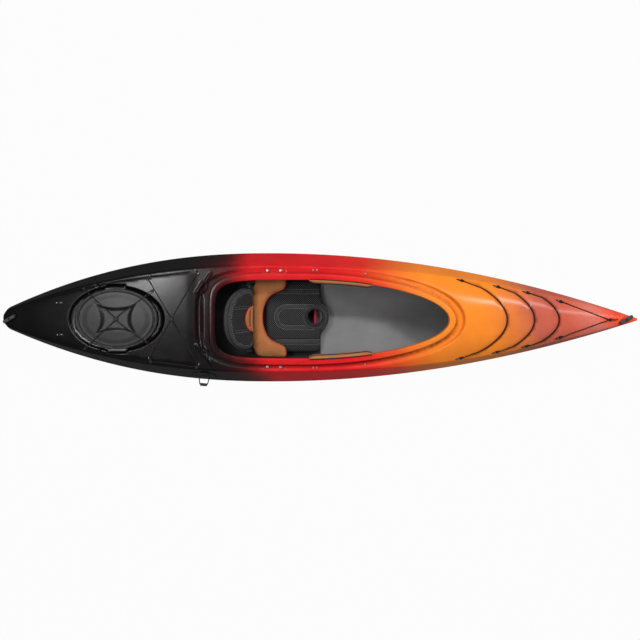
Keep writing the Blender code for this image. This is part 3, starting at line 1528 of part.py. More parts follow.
def build_thigh_pads(make):
    for side, sign in SIDES.items():
        sections = []
        for turn in turns_between(*THIGH_X, 14):
            rim = rim_z(turn)
            places = (
                (THIGH_LAP, rim + 0.0006), (-0.0006, rim + 0.0006), (-0.0006, rim - THIGH_DEPTH),
                (-THIGH_THICK * 0.6, rim - THIGH_DEPTH), (-THIGH_THICK, rim - THIGH_DEPTH * 0.6),
                (-THIGH_THICK, rim - 0.008), (-THIGH_THICK * 0.7, rim + THIGH_SKIN * 0.7),
                (-THIGH_THICK * 0.3, rim + THIGH_SKIN), (THIGH_LAP, rim + THIGH_SKIN * 0.7),
            )
            section = []
            for grow, z in places:
                x, y = outline_point(COCKPIT_INNER, turn, grow)
                section.append((x, sign * y, z))
            sections.append(section)
        make.part(f"thigh_pad_{side}", loft(f"thigh_pad_{side}", sections), "tan_pad")


# Foot braces

def wall_y(floor, x, z):
    point, _, _, _ = floor.ray_cast(Vector((x, 0, z)), Vector((0, 1, 0)))
    return point.y


def build_foot_braces(make, floor):
    ends = []
    for x in (RAIL_X[0] + 0.015, RAIL_X[1] - 0.015):
        corners = []
        for dx in (-0.015, 0.0, 0.015):
            for dz in (-RAIL_HIGH / 2, 0.0, RAIL_HIGH / 2):
                corners.append(wall_y(floor, x + dx, RAIL_Z + dz))
        ends.append(min(corners))
    run = RAIL_X[1] - RAIL_X[0] - 0.030
    lean = (ends[1] - ends[0]) / run
    for side, sign in SIDES.items():
        angle = sign * Vector((1, lean, 0)).angle((1, 0, 0)) * (-1 if lean < 0 else 1)
        centre_y = blend(ends[0], ends[1], (PEDAL_X - RAIL_X[0] - 0.015) / run)
        centre_y -= RAIL_STANDOFF + RAIL_THICK / 2 - 0.0006
        pivot = make.pivot(f"pedal_slide_{side}", (PEDAL_X, sign * centre_y, RAIL_Z), (0, 0, angle))
        build_brace(make, pivot, side, sign)


def build_brace(make, pivot, side, sign):
    """Rail on its two feet, slider with its foot plate, and locking lever."""
    aft = RAIL_X[0] - PEDAL_X
    fore = RAIL_X[1] - PEDAL_X
    half_high = RAIL_HIGH / 2
    half_thick = RAIL_THICK / 2
    name = f"foot_rail_{side}"
    rail = make.part(
        name, block(name, (aft, -half_thick, -half_high), (fore, half_thick, half_high)),
        "rail_alloy", parent=pivot,
    )
    out = sign * (half_thick + RAIL_STANDOFF)
    for low in (aft, fore - 0.030):
        foot_y = sorted((sign * half_thick * 0.5, out))
        foot = block("rail_foot", (low, foot_y[0], -half_high), (low + 0.030, foot_y[1], half_high))
        make.join(rail, foot, parent=pivot)
    clear = 0.0005
    inner = half_thick + clear
    tall = half_high + clear
    skin = SLIDER_WALL
    lip = 0.003
    section = [
        (-inner - skin, -tall - skin), (inner + lip, -tall - skin), (inner + lip, -tall + 0.006),
        (inner, -tall + 0.006), (inner, -tall), (-inner, -tall), (-inner, tall), (inner, tall),
        (inner, tall - 0.006), (inner + lip, tall - 0.006), (inner + lip, tall + skin),
        (-inner - skin, tall + skin),
    ]
    section = [(sign * y, z) for y, z in section]
    name = f"foot_pedal_{side}"
    slider = side_prism(name, section, -SLIDER_LONG / 2, SLIDER_LONG / 2)
    pedal = make.part(name, slider, "black_plastic", parent=pivot)
    plate = []
    for i in range(9):
        z = blend(-FOOT_HIGH / 2, FOOT_HIGH / 2, i / 8)
        bow = 0.012 * (2 * z / FOOT_HIGH) ** 2
        plate.append((SLIDER_LONG / 2 - 0.006 + bow, z + FOOT_RAISE))
    outline = plate + [(x - FOOT_THICK, z) for x, z in plate[::-1]]
    reach = sorted((-sign * (inner + skin * 0.5), -sign * (inner + skin + FOOT_WIDE)))
    foot = [[(x, y, z) for x, z in outline] for y in reach]
    make.join(pedal, loft("foot_plate", foot), parent=pivot)
    name = f"pedal_lever_{side}"
    back = -SLIDER_LONG / 2
    axis_x = back - LEVER_BARREL - 0.0015
    near = inner + skin / 2
    far = near + LEVER_WIDE + 2 * LEVER_EAR + 4 * GAP

    def span(low, high):
        return sorted((-sign * low, -sign * high))
    bridge = span(near, far)
    ear_bridge = block("ear_bridge", (back, bridge[0], -0.006), (back + 0.004, bridge[1], 0.006))
    make.join(pedal, ear_bridge, parent=pivot)
    for low in (near, far - LEVER_EAR):
        sides = span(low, low + LEVER_EAR)
        ear = block("lever_ear", (axis_x - 0.005, sides[0], -0.005), (back + 0.002, sides[1], 0.005))
        make.join(pedal, ear, parent=pivot)
    reach = span(near - 0.01, far + 0.01)
    bore = rod("lever_bore", LEVER_PIN + GAP, reach[0], reach[1], axis="Y", sides=12)
    make.cut(pedal, bore, place=(axis_x, 0, 0), parent=pivot)
    lever_pivot = make.pivot(f"lever_tip_{side}", (axis_x, 0, 0))
    lever_pivot.parent = pivot
    sides = span(near + LEVER_EAR + 2 * GAP, far - LEVER_EAR - 2 * GAP)
    barrel = rod(name, LEVER_BARREL, sides[0], sides[1], axis="Y", sides=14)
    lever = make.part(name, barrel, "black_plastic", parent=lever_pivot)
    sides = span(near + 0.0005, far)
    pin = rod("lever_pin", LEVER_PIN, sides[0], sides[1], axis="Y", sides=12)
    make.join(lever, pin, parent=lever_pivot)
    sides = span(near + LEVER_EAR + 3 * GAP, far - LEVER_EAR - 3 * GAP)
    tab = block("lever_tab", (-LEVER_LONG, sides[0], -0.0015), (-0.001, sides[1], 0.0015))
    make.join(lever, tab, parent=lever_pivot)


# Paddle keeper

def build_paddle_keeper(make):
    def seam_at(x):
        return Vector((x, -half_beam(x), seam_z(x) + GAP))

    def crease_at(x):
        return Vector((x, -crease_half(x), crease_z(x)))
    x = KEEPER_X
    ends = (x - KEEPER_LONG / 2, x + KEEPER_LONG / 2)
    along = (seam_at(ends[1]) - seam_at(ends[0])).normalized()
    up = crease_at(x) - seam_at(x)
    up = (up - along * up.dot(along)).normalized()
    inward = up.cross(along)
    foot = seam_at(x) + up * 0.030
    clear = 0.0
    for px in (ends[0], (ends[0] + x) / 2, x, (ends[1] + x) / 2, ends[1]):
        for point in (seam_at(px), crease_at(px)):
            clear = max(clear, (foot - point).dot(inward))
    turn = Matrix((along, inward, up)).transposed()
    frame = make.pivot("keeper_frame", foot - inward * (clear + GAP), turn.to_euler())
    lean = Vector((0, 0, 1)).angle(up)
    half = KEEPER_LONG / 2
    top = KEEPER_HIGH
    plate_outline = [
        (-half, 0.008), (-half + 0.012, 0.0), (half - 0.012, 0.0), (half, 0.008),
        (half - 0.012, top * 0.8), (half - 0.035, top), (-half + 0.035, top), (-half + 0.012, top * 0.8),
    ]
    plate = [[(px, y, z) for px, z in plate_outline] for y in (-KEEPER_THICK, 0.0)]
    bracket = make.part("keeper_bracket", loft("keeper_bracket", plate), "black_plastic", parent=frame)
    barrel_y = -KEEPER_BARREL
    barrel_z = 0.010
    barrel_half = KEEPER_BASE / 2 - 0.006
    barrel = rod("keeper_barrel", KEEPER_BARREL, -barrel_half, barrel_half, axis="X", sides=16)
    make.join(bracket, barrel, place=(0, barrel_y, barrel_z), parent=frame)
    bore = rod("keeper_bore", KEEPER_WIRE + GAP, -half, half, axis="X", sides=12)
    make.cut(bracket, bore, place=(0, barrel_y, barrel_z), parent=frame)
    swing = make.pivot("keeper_swing", (0, barrel_y, barrel_z), (lean, 0, 0))
    swing.parent = frame
    base = KEEPER_BASE / 2
    bar = KEEPER_BAR / 2
    bend = 0.006
    corners = [
        (base - bend, 0), (base - 0.001, -0.001), (base, -bend), (bar + 0.002, -KEEPER_REACH + bend),
        (bar, -KEEPER_REACH + 0.001), (bar - bend, -KEEPER_REACH),
    ]
    loop = corners + [(-px, py) for px, py in corners[::-1]]
    wire = make.tube_mesh("keeper_loop", [(px, py, 0) for px, py in loop], KEEPER_WIRE, closed=True)
    keeper = make.part("keeper_loop", wire, "cord_black", parent=swing)
    grip = rod("keeper_grip", KEEPER_GRIP, -bar + 0.002, bar - 0.002, axis="X", sides=14)
    make.join(keeper, grip, place=(0, -KEEPER_REACH, 0), parent=swing)


def main():
    clear_scene()
    make = Builder()
    hull, floor = build_hull(make)
    deck, deck_surface, ledge, ceiling = build_deck(make, hull)
    eye = eye_mesh(make)
    build_front_cords(make, deck_surface, eye)
    build_bow_cords(make, deck, deck_surface, eye)
    build_rear_bungee(make, deck_surface, eye)
    build_hatch(make, deck_surface)
    build_toggles(make, deck_surface)
    build_foam(make, floor, ceiling)
    pan = build_seat_pan(make, floor)
    build_hangers(make, pan, ledge)
    build_seat_pads(make)
    build_backrest(make)
    build_thigh_pads(make)
    build_foot_braces(make, floor)
    build_paddle_keeper(make)


main()
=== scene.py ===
"""Looks of a recreational kayak, built round its packed frame. Metres, +X to the bow, +Y to port, +Z up."""
import json
from math import atan2, ceil, cos, exp, hypot, pi, radians, sin, sqrt, tanh

import bmesh
import bpy
from bpy.props import FloatProperty, FloatVectorProperty, PointerProperty
from mathutils import Matrix, Vector
from mathutils.bvhtree import BVHTree
from mathutils.geometry import delaunay_2d_cdt
from mathutils.kdtree import KDTree


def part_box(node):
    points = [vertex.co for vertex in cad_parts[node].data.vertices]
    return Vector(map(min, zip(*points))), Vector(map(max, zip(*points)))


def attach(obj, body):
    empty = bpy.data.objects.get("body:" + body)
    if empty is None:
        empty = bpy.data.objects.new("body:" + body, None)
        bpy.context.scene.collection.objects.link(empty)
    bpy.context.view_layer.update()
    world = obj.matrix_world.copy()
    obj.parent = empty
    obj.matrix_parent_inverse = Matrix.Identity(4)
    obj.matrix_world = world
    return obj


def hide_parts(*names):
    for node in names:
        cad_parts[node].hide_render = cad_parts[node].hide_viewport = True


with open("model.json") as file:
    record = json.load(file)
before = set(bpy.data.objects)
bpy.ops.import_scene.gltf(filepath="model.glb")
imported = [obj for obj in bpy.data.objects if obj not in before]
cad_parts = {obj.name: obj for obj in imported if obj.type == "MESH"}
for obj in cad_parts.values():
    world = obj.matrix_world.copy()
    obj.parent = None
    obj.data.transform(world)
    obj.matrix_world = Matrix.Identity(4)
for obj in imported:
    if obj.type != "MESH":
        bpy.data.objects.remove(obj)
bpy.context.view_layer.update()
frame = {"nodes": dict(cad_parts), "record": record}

bl_info = {
    "name": "Recreational kayak",
    "version": (1, 0, 0),
    "blender": (4, 5, 0),
    "location": "3D View > Sidebar > Kayak",
    "description": "Builds the looks of a recreational kayak round its packed frame",
    "category": "Object",
}

SIDES = {"port": 1, "starboard": -1}
BODY_OF = {node: body for body, nodes in frame["record"]["behaviour"]["bodies"].items() for node in nodes}

# Hull and deck lines, as in the part's source
HALF_LENGTH = 1.905
BEAM_HALF = 0.3935
WALL = 0.005
SEAM_GAP = 0.0003
WIDEST_X = -0.300
BOW_FULLNESS, STERN_FULLNESS = 2.02, 2.25
BOW_TIP_HALF, STERN_TIP_HALF, STERN_ROUNDING = 0.006, 0.050, 0.040
SOLID_BOW, SOLID_STERN = 0.100, 0.090
KEEL_FLAT = 0.060
KEEL_RISE_X = (-1.250, 1.150)
KEEL_RISE_STERN, KEEL_RISE_BOW = 0.200, 0.270
SEAM_MID, SEAM_STERN, SEAM_BOW = 0.165, 0.240, 0.300
CREASE_MID, CREASE_STERN, CREASE_BOW = 0.293, 0.262, 0.306
CREASE_SHARE_AFT, CREASE_SHARE_FORE = 0.81, 0.85
CAMBER = 2.2
DECK_STERN, DECK_HATCH, DECK_AFT, DECK_PEAK, DECK_BOW = 0.268, 0.288, 0.291, 0.378, 0.309
PANEL_X = (-1.80, -1.68, -0.80, -0.72)
PANEL_SHARE, PANEL_RISE = 0.74, 0.0022

# Cockpit. Outlines: reach fore, aft and aside of its centre, roundness fore and aft
COCKPIT_X = -0.116
COCKPIT_INNER = (0.886, 0.505, 0.235, 2.0, 5.0)
MOAT_OUTER = (0.979, 0.622, 0.308, 2.15, 3.5)
MOAT_FRONT_X, MOAT_REAR_X = 0.863, -0.738
RIM_WIDTH, RIM_THICK, COAMING_WALL = 0.038, 0.010, 0.008
MOAT_DEPTHS = (0.003, 0.030, 0.012)
COAMING_RISES = (0.030, 0.050, 0.042)
COLLAR_EDGE, COLLAR_RISE = 0.092, 0.011
AROUND = 264

# Front deck steps
STEP_RISE = 0.015
ROW_SETBACKS = (-0.020, 0.196, 0.372, 0.570)
ROW_SHARES = (0.941, 0.929, 0.912, 0.829)
ARC_APEXES = (0.247, 0.411, 0.560)
ARC_LEAD = 0.015

# Hatch
HATCH_X, HATCH_LONG, HATCH_HALF = -1.2155, 0.2475, 0.181
RECESS_LONG, RECESS_HALF = 0.2875, 0.198
NOTCH_HALF, NOTCH_EDGE = 0.066, 0.2085
NECK_INSET = 0.012
HATCH_FLOOR, NECK_TOP = 0.274, 0.292
LID_UNDER, LID_EDGE, LID_TOP, LID_RELIEF = 0.2956, 0.3016, 0.3081, 0.0065

# Small moulded features, as (line, half width, height), on both sides
FEATURES = (
    (((-0.742, 0.150), (-0.716, 0.186), (-0.690, 0.232)), 0.012, 0.0045),
    (((-0.712, 0.144), (-0.676, 0.190), (-0.672, 0.238), (-0.640, 0.283)), 0.011, 0.0050),
    (((-1.352, 0.230), (-1.336, 0.207), (-1.318, 0.185)), 0.006, -0.0050),
)
PORT_MARK = (((0.506, 0.234), (0.562, 0.210), (0.572, 0.200)), 0.005, -0.0030)
BOLT_POCKET = ((-0.345, -0.195), (0.272, 0.306), 0.0030)
TOGGLE_POCKETS = ((1.8325, 0.048, 0.017, 0.005), (-1.859, 0.048, 0.018, 0.004))
TOGGLE_TURN = radians(30.0)

# Boxes of the deck's plan that get a finer grid, as (low x, high x, low y, high y, spacing)
FINE_BOTH_SIDES = (
    (-0.765, -0.615, 0.135, 0.300, 0.0055), (-0.350, -0.190, 0.266, 0.296, 0.004),
    (-1.360, -1.310, 0.212, 0.236, 0.003),
)
FINE_PORT = (0.495, 0.582, 0.192, 0.243, 0.004)

# Plain grid of the plan: its start, spacings, counts, and the cell that keeps it clear of other points
GRID_START, GRID_X, GRID_Y = -1.90, 0.014, 0.012
GRID_COLUMNS, GRID_ROWS, GRID_CELL = 274, 33, 0.006
SEAM_STEPS, HATCH_AROUND, HULL_STEPS = 380, 240, 210

# Roundness and vee of the bottom's sections, amidships and at the ends
SECTION_POWERS, SECTION_VEES = (3.0, 1.6), (0.12, 0.75)


def blend(low, high, share):
    return low + (high - low) * share


def mixed(a, b, share):
    return tuple(blend(x, y, share) for x, y in zip(a, b))


def srgb(red, green, blue):
    """Scene colour of a screen colour given from 0 to 255."""
    return tuple(((c / 255 + 0.055) / 1.055) ** 2.4 if c > 10 else c / 3294.6 for c in (red, green, blue))


def smooth_share(value, start, end):
    share = min(1.0, max(0.0, (value - start) / (end - start)))
    return share * share * (3 - 2 * share)


def smooth_least(a, b, reach):
    """The lesser of two heights, rounded where they meet."""
    near = max(reach - abs(a - b), 0.0) / reach
    return min(a, b) - near * near * reach / 4


def hermite(a, out, b, back, t):
    """Curve from a to b that leaves along one tangent and comes in along another."""
    return (
        (2 * t**3 - 3 * t**2 + 1) * a + (t**3 - 2 * t**2 + t) * out
        + (3 * t**2 - 2 * t**3) * b + (t**3 - t**2) * back
    )


def smooth_through(points, x):
    """Height at x on a smooth line through (x, z) points that never overshoots."""
    x = min(max(x, points[0][0]), points[-1][0])
    slopes = [(b[1] - a[1]) / (b[0] - a[0]) for a, b in zip(points, points[1:])]
    tangents = [0.0 if a * b <= 0 else 2 * a * b / (a + b) for a, b in zip(slopes, slopes[1:])]
    tangents = [slopes[0], *tangents, slopes[-1]]
    i = max(k for k in range(len(slopes)) if points[k][0] <= x)
    span = points[i + 1][0] - points[i][0]
    t = (x - points[i][0]) / span
    return hermite(points[i][1], span * tangents[i], points[i + 1][1], span * tangents[i + 1], t)


# Hull and deck lines

def end_share(x):
    """0 at the widest station and 1 at the bow or stern tip."""
    reach = HALF_LENGTH - WIDEST_X if x > WIDEST_X else HALF_LENGTH + WIDEST_X
    return min(1.0, abs(x - WIDEST_X) / reach)


def half_beam(x):
    share = end_share(x)
    if x > WIDEST_X:
        return BOW_TIP_HALF + (BEAM_HALF - BOW_TIP_HALF) * (1 - share**BOW_FULLNESS)
    width = STERN_TIP_HALF + (BEAM_HALF - STERN_TIP_HALF) * (1 - share**STERN_FULLNESS)
    past = max(0.0, 1 - (x + HALF_LENGTH) / STERN_ROUNDING)
    return width * sqrt(1 - 0.8 * past**2)


def seam_z(x):
    return blend(SEAM_MID, SEAM_BOW if x > WIDEST_X else SEAM_STERN, end_share(x) ** 2.4)


def crease_z(x):
    return blend(CREASE_MID, CREASE_BOW if x > WIDEST_X else CREASE_STERN, end_share(x) ** 2)


def crease_half(x):
    fore = smooth_share(x, COCKPIT_X, MOAT_FRONT_X)
    return half_beam(x) * blend(CREASE_SHARE_AFT, CREASE_SHARE_FORE, fore)


def keel_z(x):
    aft, fore = KEEL_RISE_X
    if x > fore:
        return KEEL_RISE_BOW * ((x - fore) / (HALF_LENGTH - fore)) ** 3
    return KEEL_RISE_STERN * (max(0.0, aft - x) / (aft + HALF_LENGTH)) ** 3


def crown_z(x, y):
    """Deck between its creases, carried on past them."""
    line = (
        (-HALF_LENGTH, DECK_STERN), (HATCH_X, DECK_HATCH), (MOAT_REAR_X, DECK_AFT),
        (MOAT_FRONT_X - 0.05, DECK_PEAK), (HALF_LENGTH, DECK_BOW),
    )
    low = crease_z(x)
    return low + (smooth_through(line, x) - low) * (1 - (abs(y) / crease_half(x)) ** CAMBER)


def shoulder_z(x, y):
    half, crease = half_beam(x), crease_half(x)
    return blend(crease_z(x), seam_z(x) + SEAM_GAP, (abs(y) - crease) / (half - crease))


def arc_sweep(number):
    """X of an arc's two ends, and how far its middle sweeps ahead of them."""
    edge = MOAT_FRONT_X + ROW_SETBACKS[number] + ARC_LEAD
    return edge, MOAT_FRONT_X + ARC_APEXES[number] - edge


def arc_bow(number, y):
    """Share of an arc's sweep that it has at some y."""
    return max(0.0, 1 - (y / crease_half(arc_sweep(number)[0])) ** 2)


def arc_x(number, y, ahead=0.0):
    edge, sweep = arc_sweep(number)
    return edge + sweep * arc_bow(number, y) + ahead


def step_z(x, y):
    """Saw-tooth of the front deck: up to each arc's edge, then down into its foot."""
    keys = [(MOAT_FRONT_X - 0.160, 0.0, 0.0)]
    end = (MOAT_FRONT_X + ARC_APEXES[-1] + 0.280, 0.0, 0.0)
    if x <= keys[0][0] or x >= end[0]:
        return 0.0
    drop = climb = 0.0
    for number in range(3):
        bow, at = arc_bow(number, y), arc_x(number, y)
        keys.append((at, STEP_RISE / 2 * bow, -STEP_RISE / 2 * bow))
        drop += STEP_RISE * bow * smooth_share(x, at - 0.0025, at + 0.0045)
    for (start, _, foot), (stop, top, _) in zip(keys, [*keys[1:], end]):
        climb += (top - foot) * min(1.0, max(0.0, (x - start) / max(stop - start, 1e-6)))
    return climb - drop


# Outlines round the cockpit and the hatch

def half_of(outline, ahead):
    """Reach and roundness of an outline's fore or aft half."""
    return (outline[0], outline[3]) if ahead else (outline[1], outline[4])


def outline_point(outline, turn, grow=0.0):
    reach, power = half_of(outline, cos(turn) > 0)
    fit = (abs(cos(turn)) ** power + abs(sin(turn)) ** power) ** (-1 / power)
    return (COCKPIT_X + (reach + grow) * cos(turn) * fit, (outline[2] + grow) * sin(turn) * fit)


def outline_away(outline, x, y):
    """Nearly the distance outside an outline, below 0 inside it."""
    reach, power = half_of(outline, x > COCKPIT_X)
    across = max(abs(x - COCKPIT_X) / reach, 1e-6)
    up = max(abs(y) / outline[2], 1e-6)
    size = (across**power + up**power) ** (1 / power)
    slope = size ** (1 - power) * hypot(across ** (power - 1) / reach, up ** (power - 1) / outline[2])
    return (size - 1) / slope


def fore_and_aft(turn, values):
    side, fore, aft = values
    return blend(side, fore if cos(turn) > 0 else aft, cos(turn) ** 2)


def ledge_z(turn):
    return crown_z(*outline_point(MOAT_OUTER, turn)) - fore_and_aft(turn, MOAT_DEPTHS)


def rim_z(turn):
    return ledge_z(turn) + fore_and_aft(turn, COAMING_RISES)


def near_line(points, x, y):
    """Distance from a point to a line of points, and how far along it lies."""
    best = (9.0, 0.0)
    spans = len(points) - 1
    for i in range(spans):
        (ax, ay), (bx, by) = points[i], points[i + 1]
        length = (bx - ax) ** 2 + (by - ay) ** 2
        t = min(1.0, max(0.0, ((x - ax) * (bx - ax) + (y - ay) * (by - ay)) / length))
        best = min(best, (hypot(x - blend(ax, bx, t), y - blend(ay, by, t)), (i + t) / spans))
    return best


def feature_z(x, y):
    total = 0.0
    for line, half, height in FEATURES + ((PORT_MARK,) if y > 0 else ()):
        if min(p[0] for p in line) - half < x < max(p[0] for p in line) + half:
            away, along = near_line(line, x, abs(y))
            ends = min(1.0, 6 * along, 6 * (1 - along)) if height > 0 else 1.0
            total += height * ends * (1 - smooth_share(away, 0.25 * half, half))
    (low, high), (near, far), depth = BOLT_POCKET
    total -= depth * smooth_share(min(x - low, high - x, abs(y) - near, far - abs(y)), 0.0, 0.004)
    for middle, long, wide, depth in TOGGLE_POCKETS:
        along = (x - middle) * cos(TOGGLE_TURN) + y * sin(TOGGLE_TURN)
        across = y * cos(TOGGLE_TURN) - (x - middle) * sin(TOGGLE_TURN)
        total -= depth * (1 - smooth_share(hypot(along / long, across / wide), 0.75, 1.0))
    return total


def notch_share(x):
    """1 across the recess's finger notches and 0 beside them."""
    return smooth_share(NOTCH_HALF - abs(x - HATCH_X + 0.001), 0.0, 0.012)


def recess_edge(turn):
    """Point on the edge of the hatch's recess, with a finger notch on each side."""
    x, y = HATCH_X + RECESS_LONG * cos(turn), RECESS_HALF * sin(turn)
    return x, y + (1 if y > 0 else -1) * notch_share(x) * max(0.0, NOTCH_EDGE - abs(y))


def recess_away(x, y):
    """Nearly the distance outside the recess's edge, below 0 inside it."""
    turn = atan2(y / RECESS_HALF, (x - HATCH_X) / RECESS_LONG)
    size = hypot(y / RECESS_HALF, (x - HATCH_X) / RECESS_LONG)
    slope = hypot(sin(turn) / RECESS_HALF, cos(turn) / RECESS_LONG)
    away = (size - 1) / max(slope, 1e-6)
    return blend(away, min(away, abs(y) - NOTCH_EDGE), notch_share(x))


def panel_z(x, y):
    """Low step round the rear deck's inner panel."""
    start, full, fade, stop = PANEL_X
    if not start <= x <= stop:
        return 0.0
    ends = smooth_share(x, start, full) * (1 - smooth_share(x, fade, stop))
    edge = half_beam(x) * PANEL_SHARE
    return PANEL_RISE * ends * (1 - smooth_share(abs(y), edge - 0.003, edge + 0.003))


def deck_z(x, y):
    """Height of the deck's outside anywhere but under the coaming and the lid."""
    moat = outline_away(MOAT_OUTER, x, y)
    hatch = recess_away(x, y)
    tip = max(0.0, 1 - (HALF_LENGTH - abs(x)) / 0.018)
    top = smooth_least(crown_z(x, y) + step_z(x, y) + panel_z(x, y), shoulder_z(x, y), 0.010)
    top -= 0.010 * tip * tip
    if hatch < 0.008:
        return blend(HATCH_FLOOR, top, smooth_share(hatch, -0.012, 0.004)) + feature_z(x, y)
    if moat > 0.008:
        return top + feature_z(x, y)
    turn = atan2(y / MOAT_OUTER[2], (x - COCKPIT_X) / half_of(MOAT_OUTER, x > COCKPIT_X)[0])
    aft = max(0.0, -cos(turn)) ** 4
    collar = smooth_share(outline_away(COCKPIT_INNER, x, y), COLLAR_EDGE - 0.010, COLLAR_EDGE)
    ledge = ledge_z(turn) - 0.006 * aft + COLLAR_RISE * aft * (1 - collar)
    return blend(ledge, top, smooth_share(moat, -0.011, 0.006)) + feature_z(x, y)


# Meshes

def flat(x, y, z=0.0):
    """Vector in the plan, or at a height where one is given."""
    return Vector((x, y, z))


def circle(count):
    """Cosine and sine of even turns."""
    return [(cos(2 * pi * i / count), sin(2 * pi * i / count)) for i in range(count)]


def raw(points, faces):
    mesh = bpy.data.meshes.new("piece")
    mesh.from_pydata([tuple(p) for p in points], [], faces)
    return mesh


def edited(mesh, edit):
    """Mesh after an edit of its bmesh."""
    work = bmesh.new()
    work.from_mesh(mesh)
    edit(work)
    work.to_mesh(mesh)
    work.free()
    return mesh


def outward(work):
    bmesh.ops.recalc_face_normals(work, faces=work.faces)


def smoothed(mesh, sharp=180.0):
    """Mesh shaded smooth but for edges sharper than an angle."""
    mesh.shade_smooth()
    mesh.set_sharp_from_angle(angle=radians(sharp))
    return mesh


def painted(mesh, *names):
    """Mesh with the finishes of some names, in place of any that it has."""
    if len(mesh.materials):
        mesh.materials.clear()
    for name in names:
        mesh.materials.append(finish(name))
    return mesh


def skin(loops, ring=False, tips=None, sharp=50.0):
    """Skin over closed loops of equal count, as a ring, between two tips, or capped flat."""
    count = len(loops[0])
    points = [p for loop in loops for p in loop]
    faces = []
    for row in range(len(loops) if ring else len(loops) - 1):
        here, there = row * count, (row + 1) % len(loops) * count
        for i in range(count):
            j = (i + 1) % count
            faces.append((here + i, here + j, there + j, there + i))
    last = (len(loops) - 1) * count
    if tips:
        points += list(tips)
        for i in range(count):
            j = (i + 1) % count
            faces += [(len(points) - 2, i, j), (len(points) - 1, last + i, last + j)]
    elif not ring:
        faces += [tuple(range(count)), tuple(range(last, last + count))]

    def close(work):
        bmesh.ops.remove_doubles(work, verts=work.verts, dist=1e-6)
        outward(work)

    return smoothed(edited(raw(points, faces), close), sharp)


def linked(name, data):
    item = bpy.data.objects.new(name, data)
    bpy.context.scene.collection.objects.link(item)
    return item


def show(name, mesh, *nodes, slot=None):
    """Puts a finished mesh in the scene for some nodes, on the first one's body and slot."""
    mesh.name = name
    item = linked(name, mesh)
    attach(item, BODY_OF[nodes[0]] if nodes else "boat")
    if nodes:
        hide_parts(*nodes)
    return item


def nodes_with(part):
    return [node for node in frame["nodes"] if part in node]


def middle_of(node):
    low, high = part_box(node)
    return (low + high) / 2


def evaluated(item):
    return bpy.data.meshes.new_from_object(item.evaluated_get(bpy.context.evaluated_depsgraph_get()))


def applied(mesh, kind, inputs=(), **settings):
    """Mesh after one modifier."""
    item = linked("working", mesh)
    modifier = item.modifiers.new("working", kind)
    for key, value in settings.items():
        setattr(modifier, key, value)
    for key, value in inputs:
        modifier[key] = value
    result = evaluated(item)
    bpy.data.objects.remove(item)
    return result


def subdivided(mesh):
    mesh = applied(mesh, "SUBSURF", levels=1, render_levels=1)
    mesh.shade_smooth()
    return mesh


def bevelled(mesh, width):
    return smoothed(applied(mesh, "BEVEL", width=width, segments=2, angle_limit=radians(40)), 50)


def cut(mesh, tool):
    knife = linked("knife", tool)
    result = applied(mesh, "BOOLEAN", object=knife, solver="EXACT")
    bpy.data.objects.remove(knife)
    return result


def joined(*meshes):
    """One mesh of several, which keeps each one's materials, faces and UV map."""
    work = bmesh.new()
    result = bpy.data.meshes.new("joined")
    for mesh in meshes:
        first, before = len(result.materials), len(work.faces)
        work.from_mesh(mesh)
        work.faces.ensure_lookup_table()
        for face in work.faces[before:]:
            face.material_index += first
        for material in mesh.materials:
            result.materials.append(material)
    work.to_mesh(result)
    work.free()
    return result


def smooth_route(points, spacing, closed=False):
    """Even samples of a smooth curve through a route's points."""
    points = [Vector(p) for p in points]
    count = len(points)
    line = []
    for i in range(count if closed else count - 1):
        if closed:
            a, b, c, d = (points[(i + k) % count] for k in (-1, 0, 1, 2))
        else:
            a, b, c, d = points[max(i - 1, 0)], points[i], points[i + 1], points[min(i + 2, count - 1)]
        length = (c - b).length
        pieces = max(1, round(length / spacing))
        out, back = ((end - start).normalized() * length for start, end in ((a, c), (b, d)))
        line += [hermite(b, out, c, back, k / pieces) for k in range(pieces)]
    return line if closed else line + [points[-1]]


def tube(path, radius, *finishes, sides=12, closed=False):
    """Round cord along a path, with a UV map in cord diameters along and turns round."""
    path = [Vector(p) for p in path]
    count = len(path)
    runs = [0.0]
    for a, b in zip(path, path[1:] + path[:1]):
        runs.append(runs[-1] + (b - a).length)
    normal = None
    points, faces, uvs = [], [], []
    for i, point in enumerate(path):
        before = path[i - 1] if closed or i else point
        after = path[(i + 1) % count] if closed or i < count - 1 else point
        along = (after - before).normalized()
        if normal is None:
            normal = flat(0, 0, 1) if abs(along.z) < 0.9 else flat(1, 0)
        normal = (normal - along * normal.dot(along)).normalized()
        side = along.cross(normal)
        points += [point + side * radius * c + normal * radius * s for c, s in circle(sides)]
    for row in range(count if closed else count - 1):
        here, there = row * sides, (row + 1) % count * sides
        start, end = (run / (2 * radius) for run in runs[row:row + 2])
        for k in range(sides):
            m = (k + 1) % sides
            faces.append((here + k, here + m, there + m, there + k))
            uvs += [(start, k / sides), (start, (k + 1) / sides), (end, (k + 1) / sides), (end, k / sides)]
    if not closed:
        for centre, first in ((path[0], 0), (path[-1], (count - 1) * sides)):
            points.append(centre)
            for k in range(sides):
                faces.append((len(points) - 1, first + k, first + (k + 1) % sides))
                uvs += [(0, 0)] * 3
    mesh = raw(points, faces)
    for loop, uv in zip(mesh.uv_layers.new(name="cord").data, uvs):
        loop.uv = uv
    return painted(smoothed(edited(mesh, outward), 60), *finishes)


def turned(rings, sides, *finishes):
    """Solid of revolution about Z through (radius, height) rings."""
    loops = [[(radius * c, radius * s, z) for c, s in circle(sides)] for radius, z in rings]
    return painted(skin(loops, tips=[(0, 0, rings[0][1]), (0, 0, rings[-1][1])], sharp=40), *finishes)


def placed(mesh, matrix):
    copy = mesh.copy()
    copy.transform(matrix)
    return copy


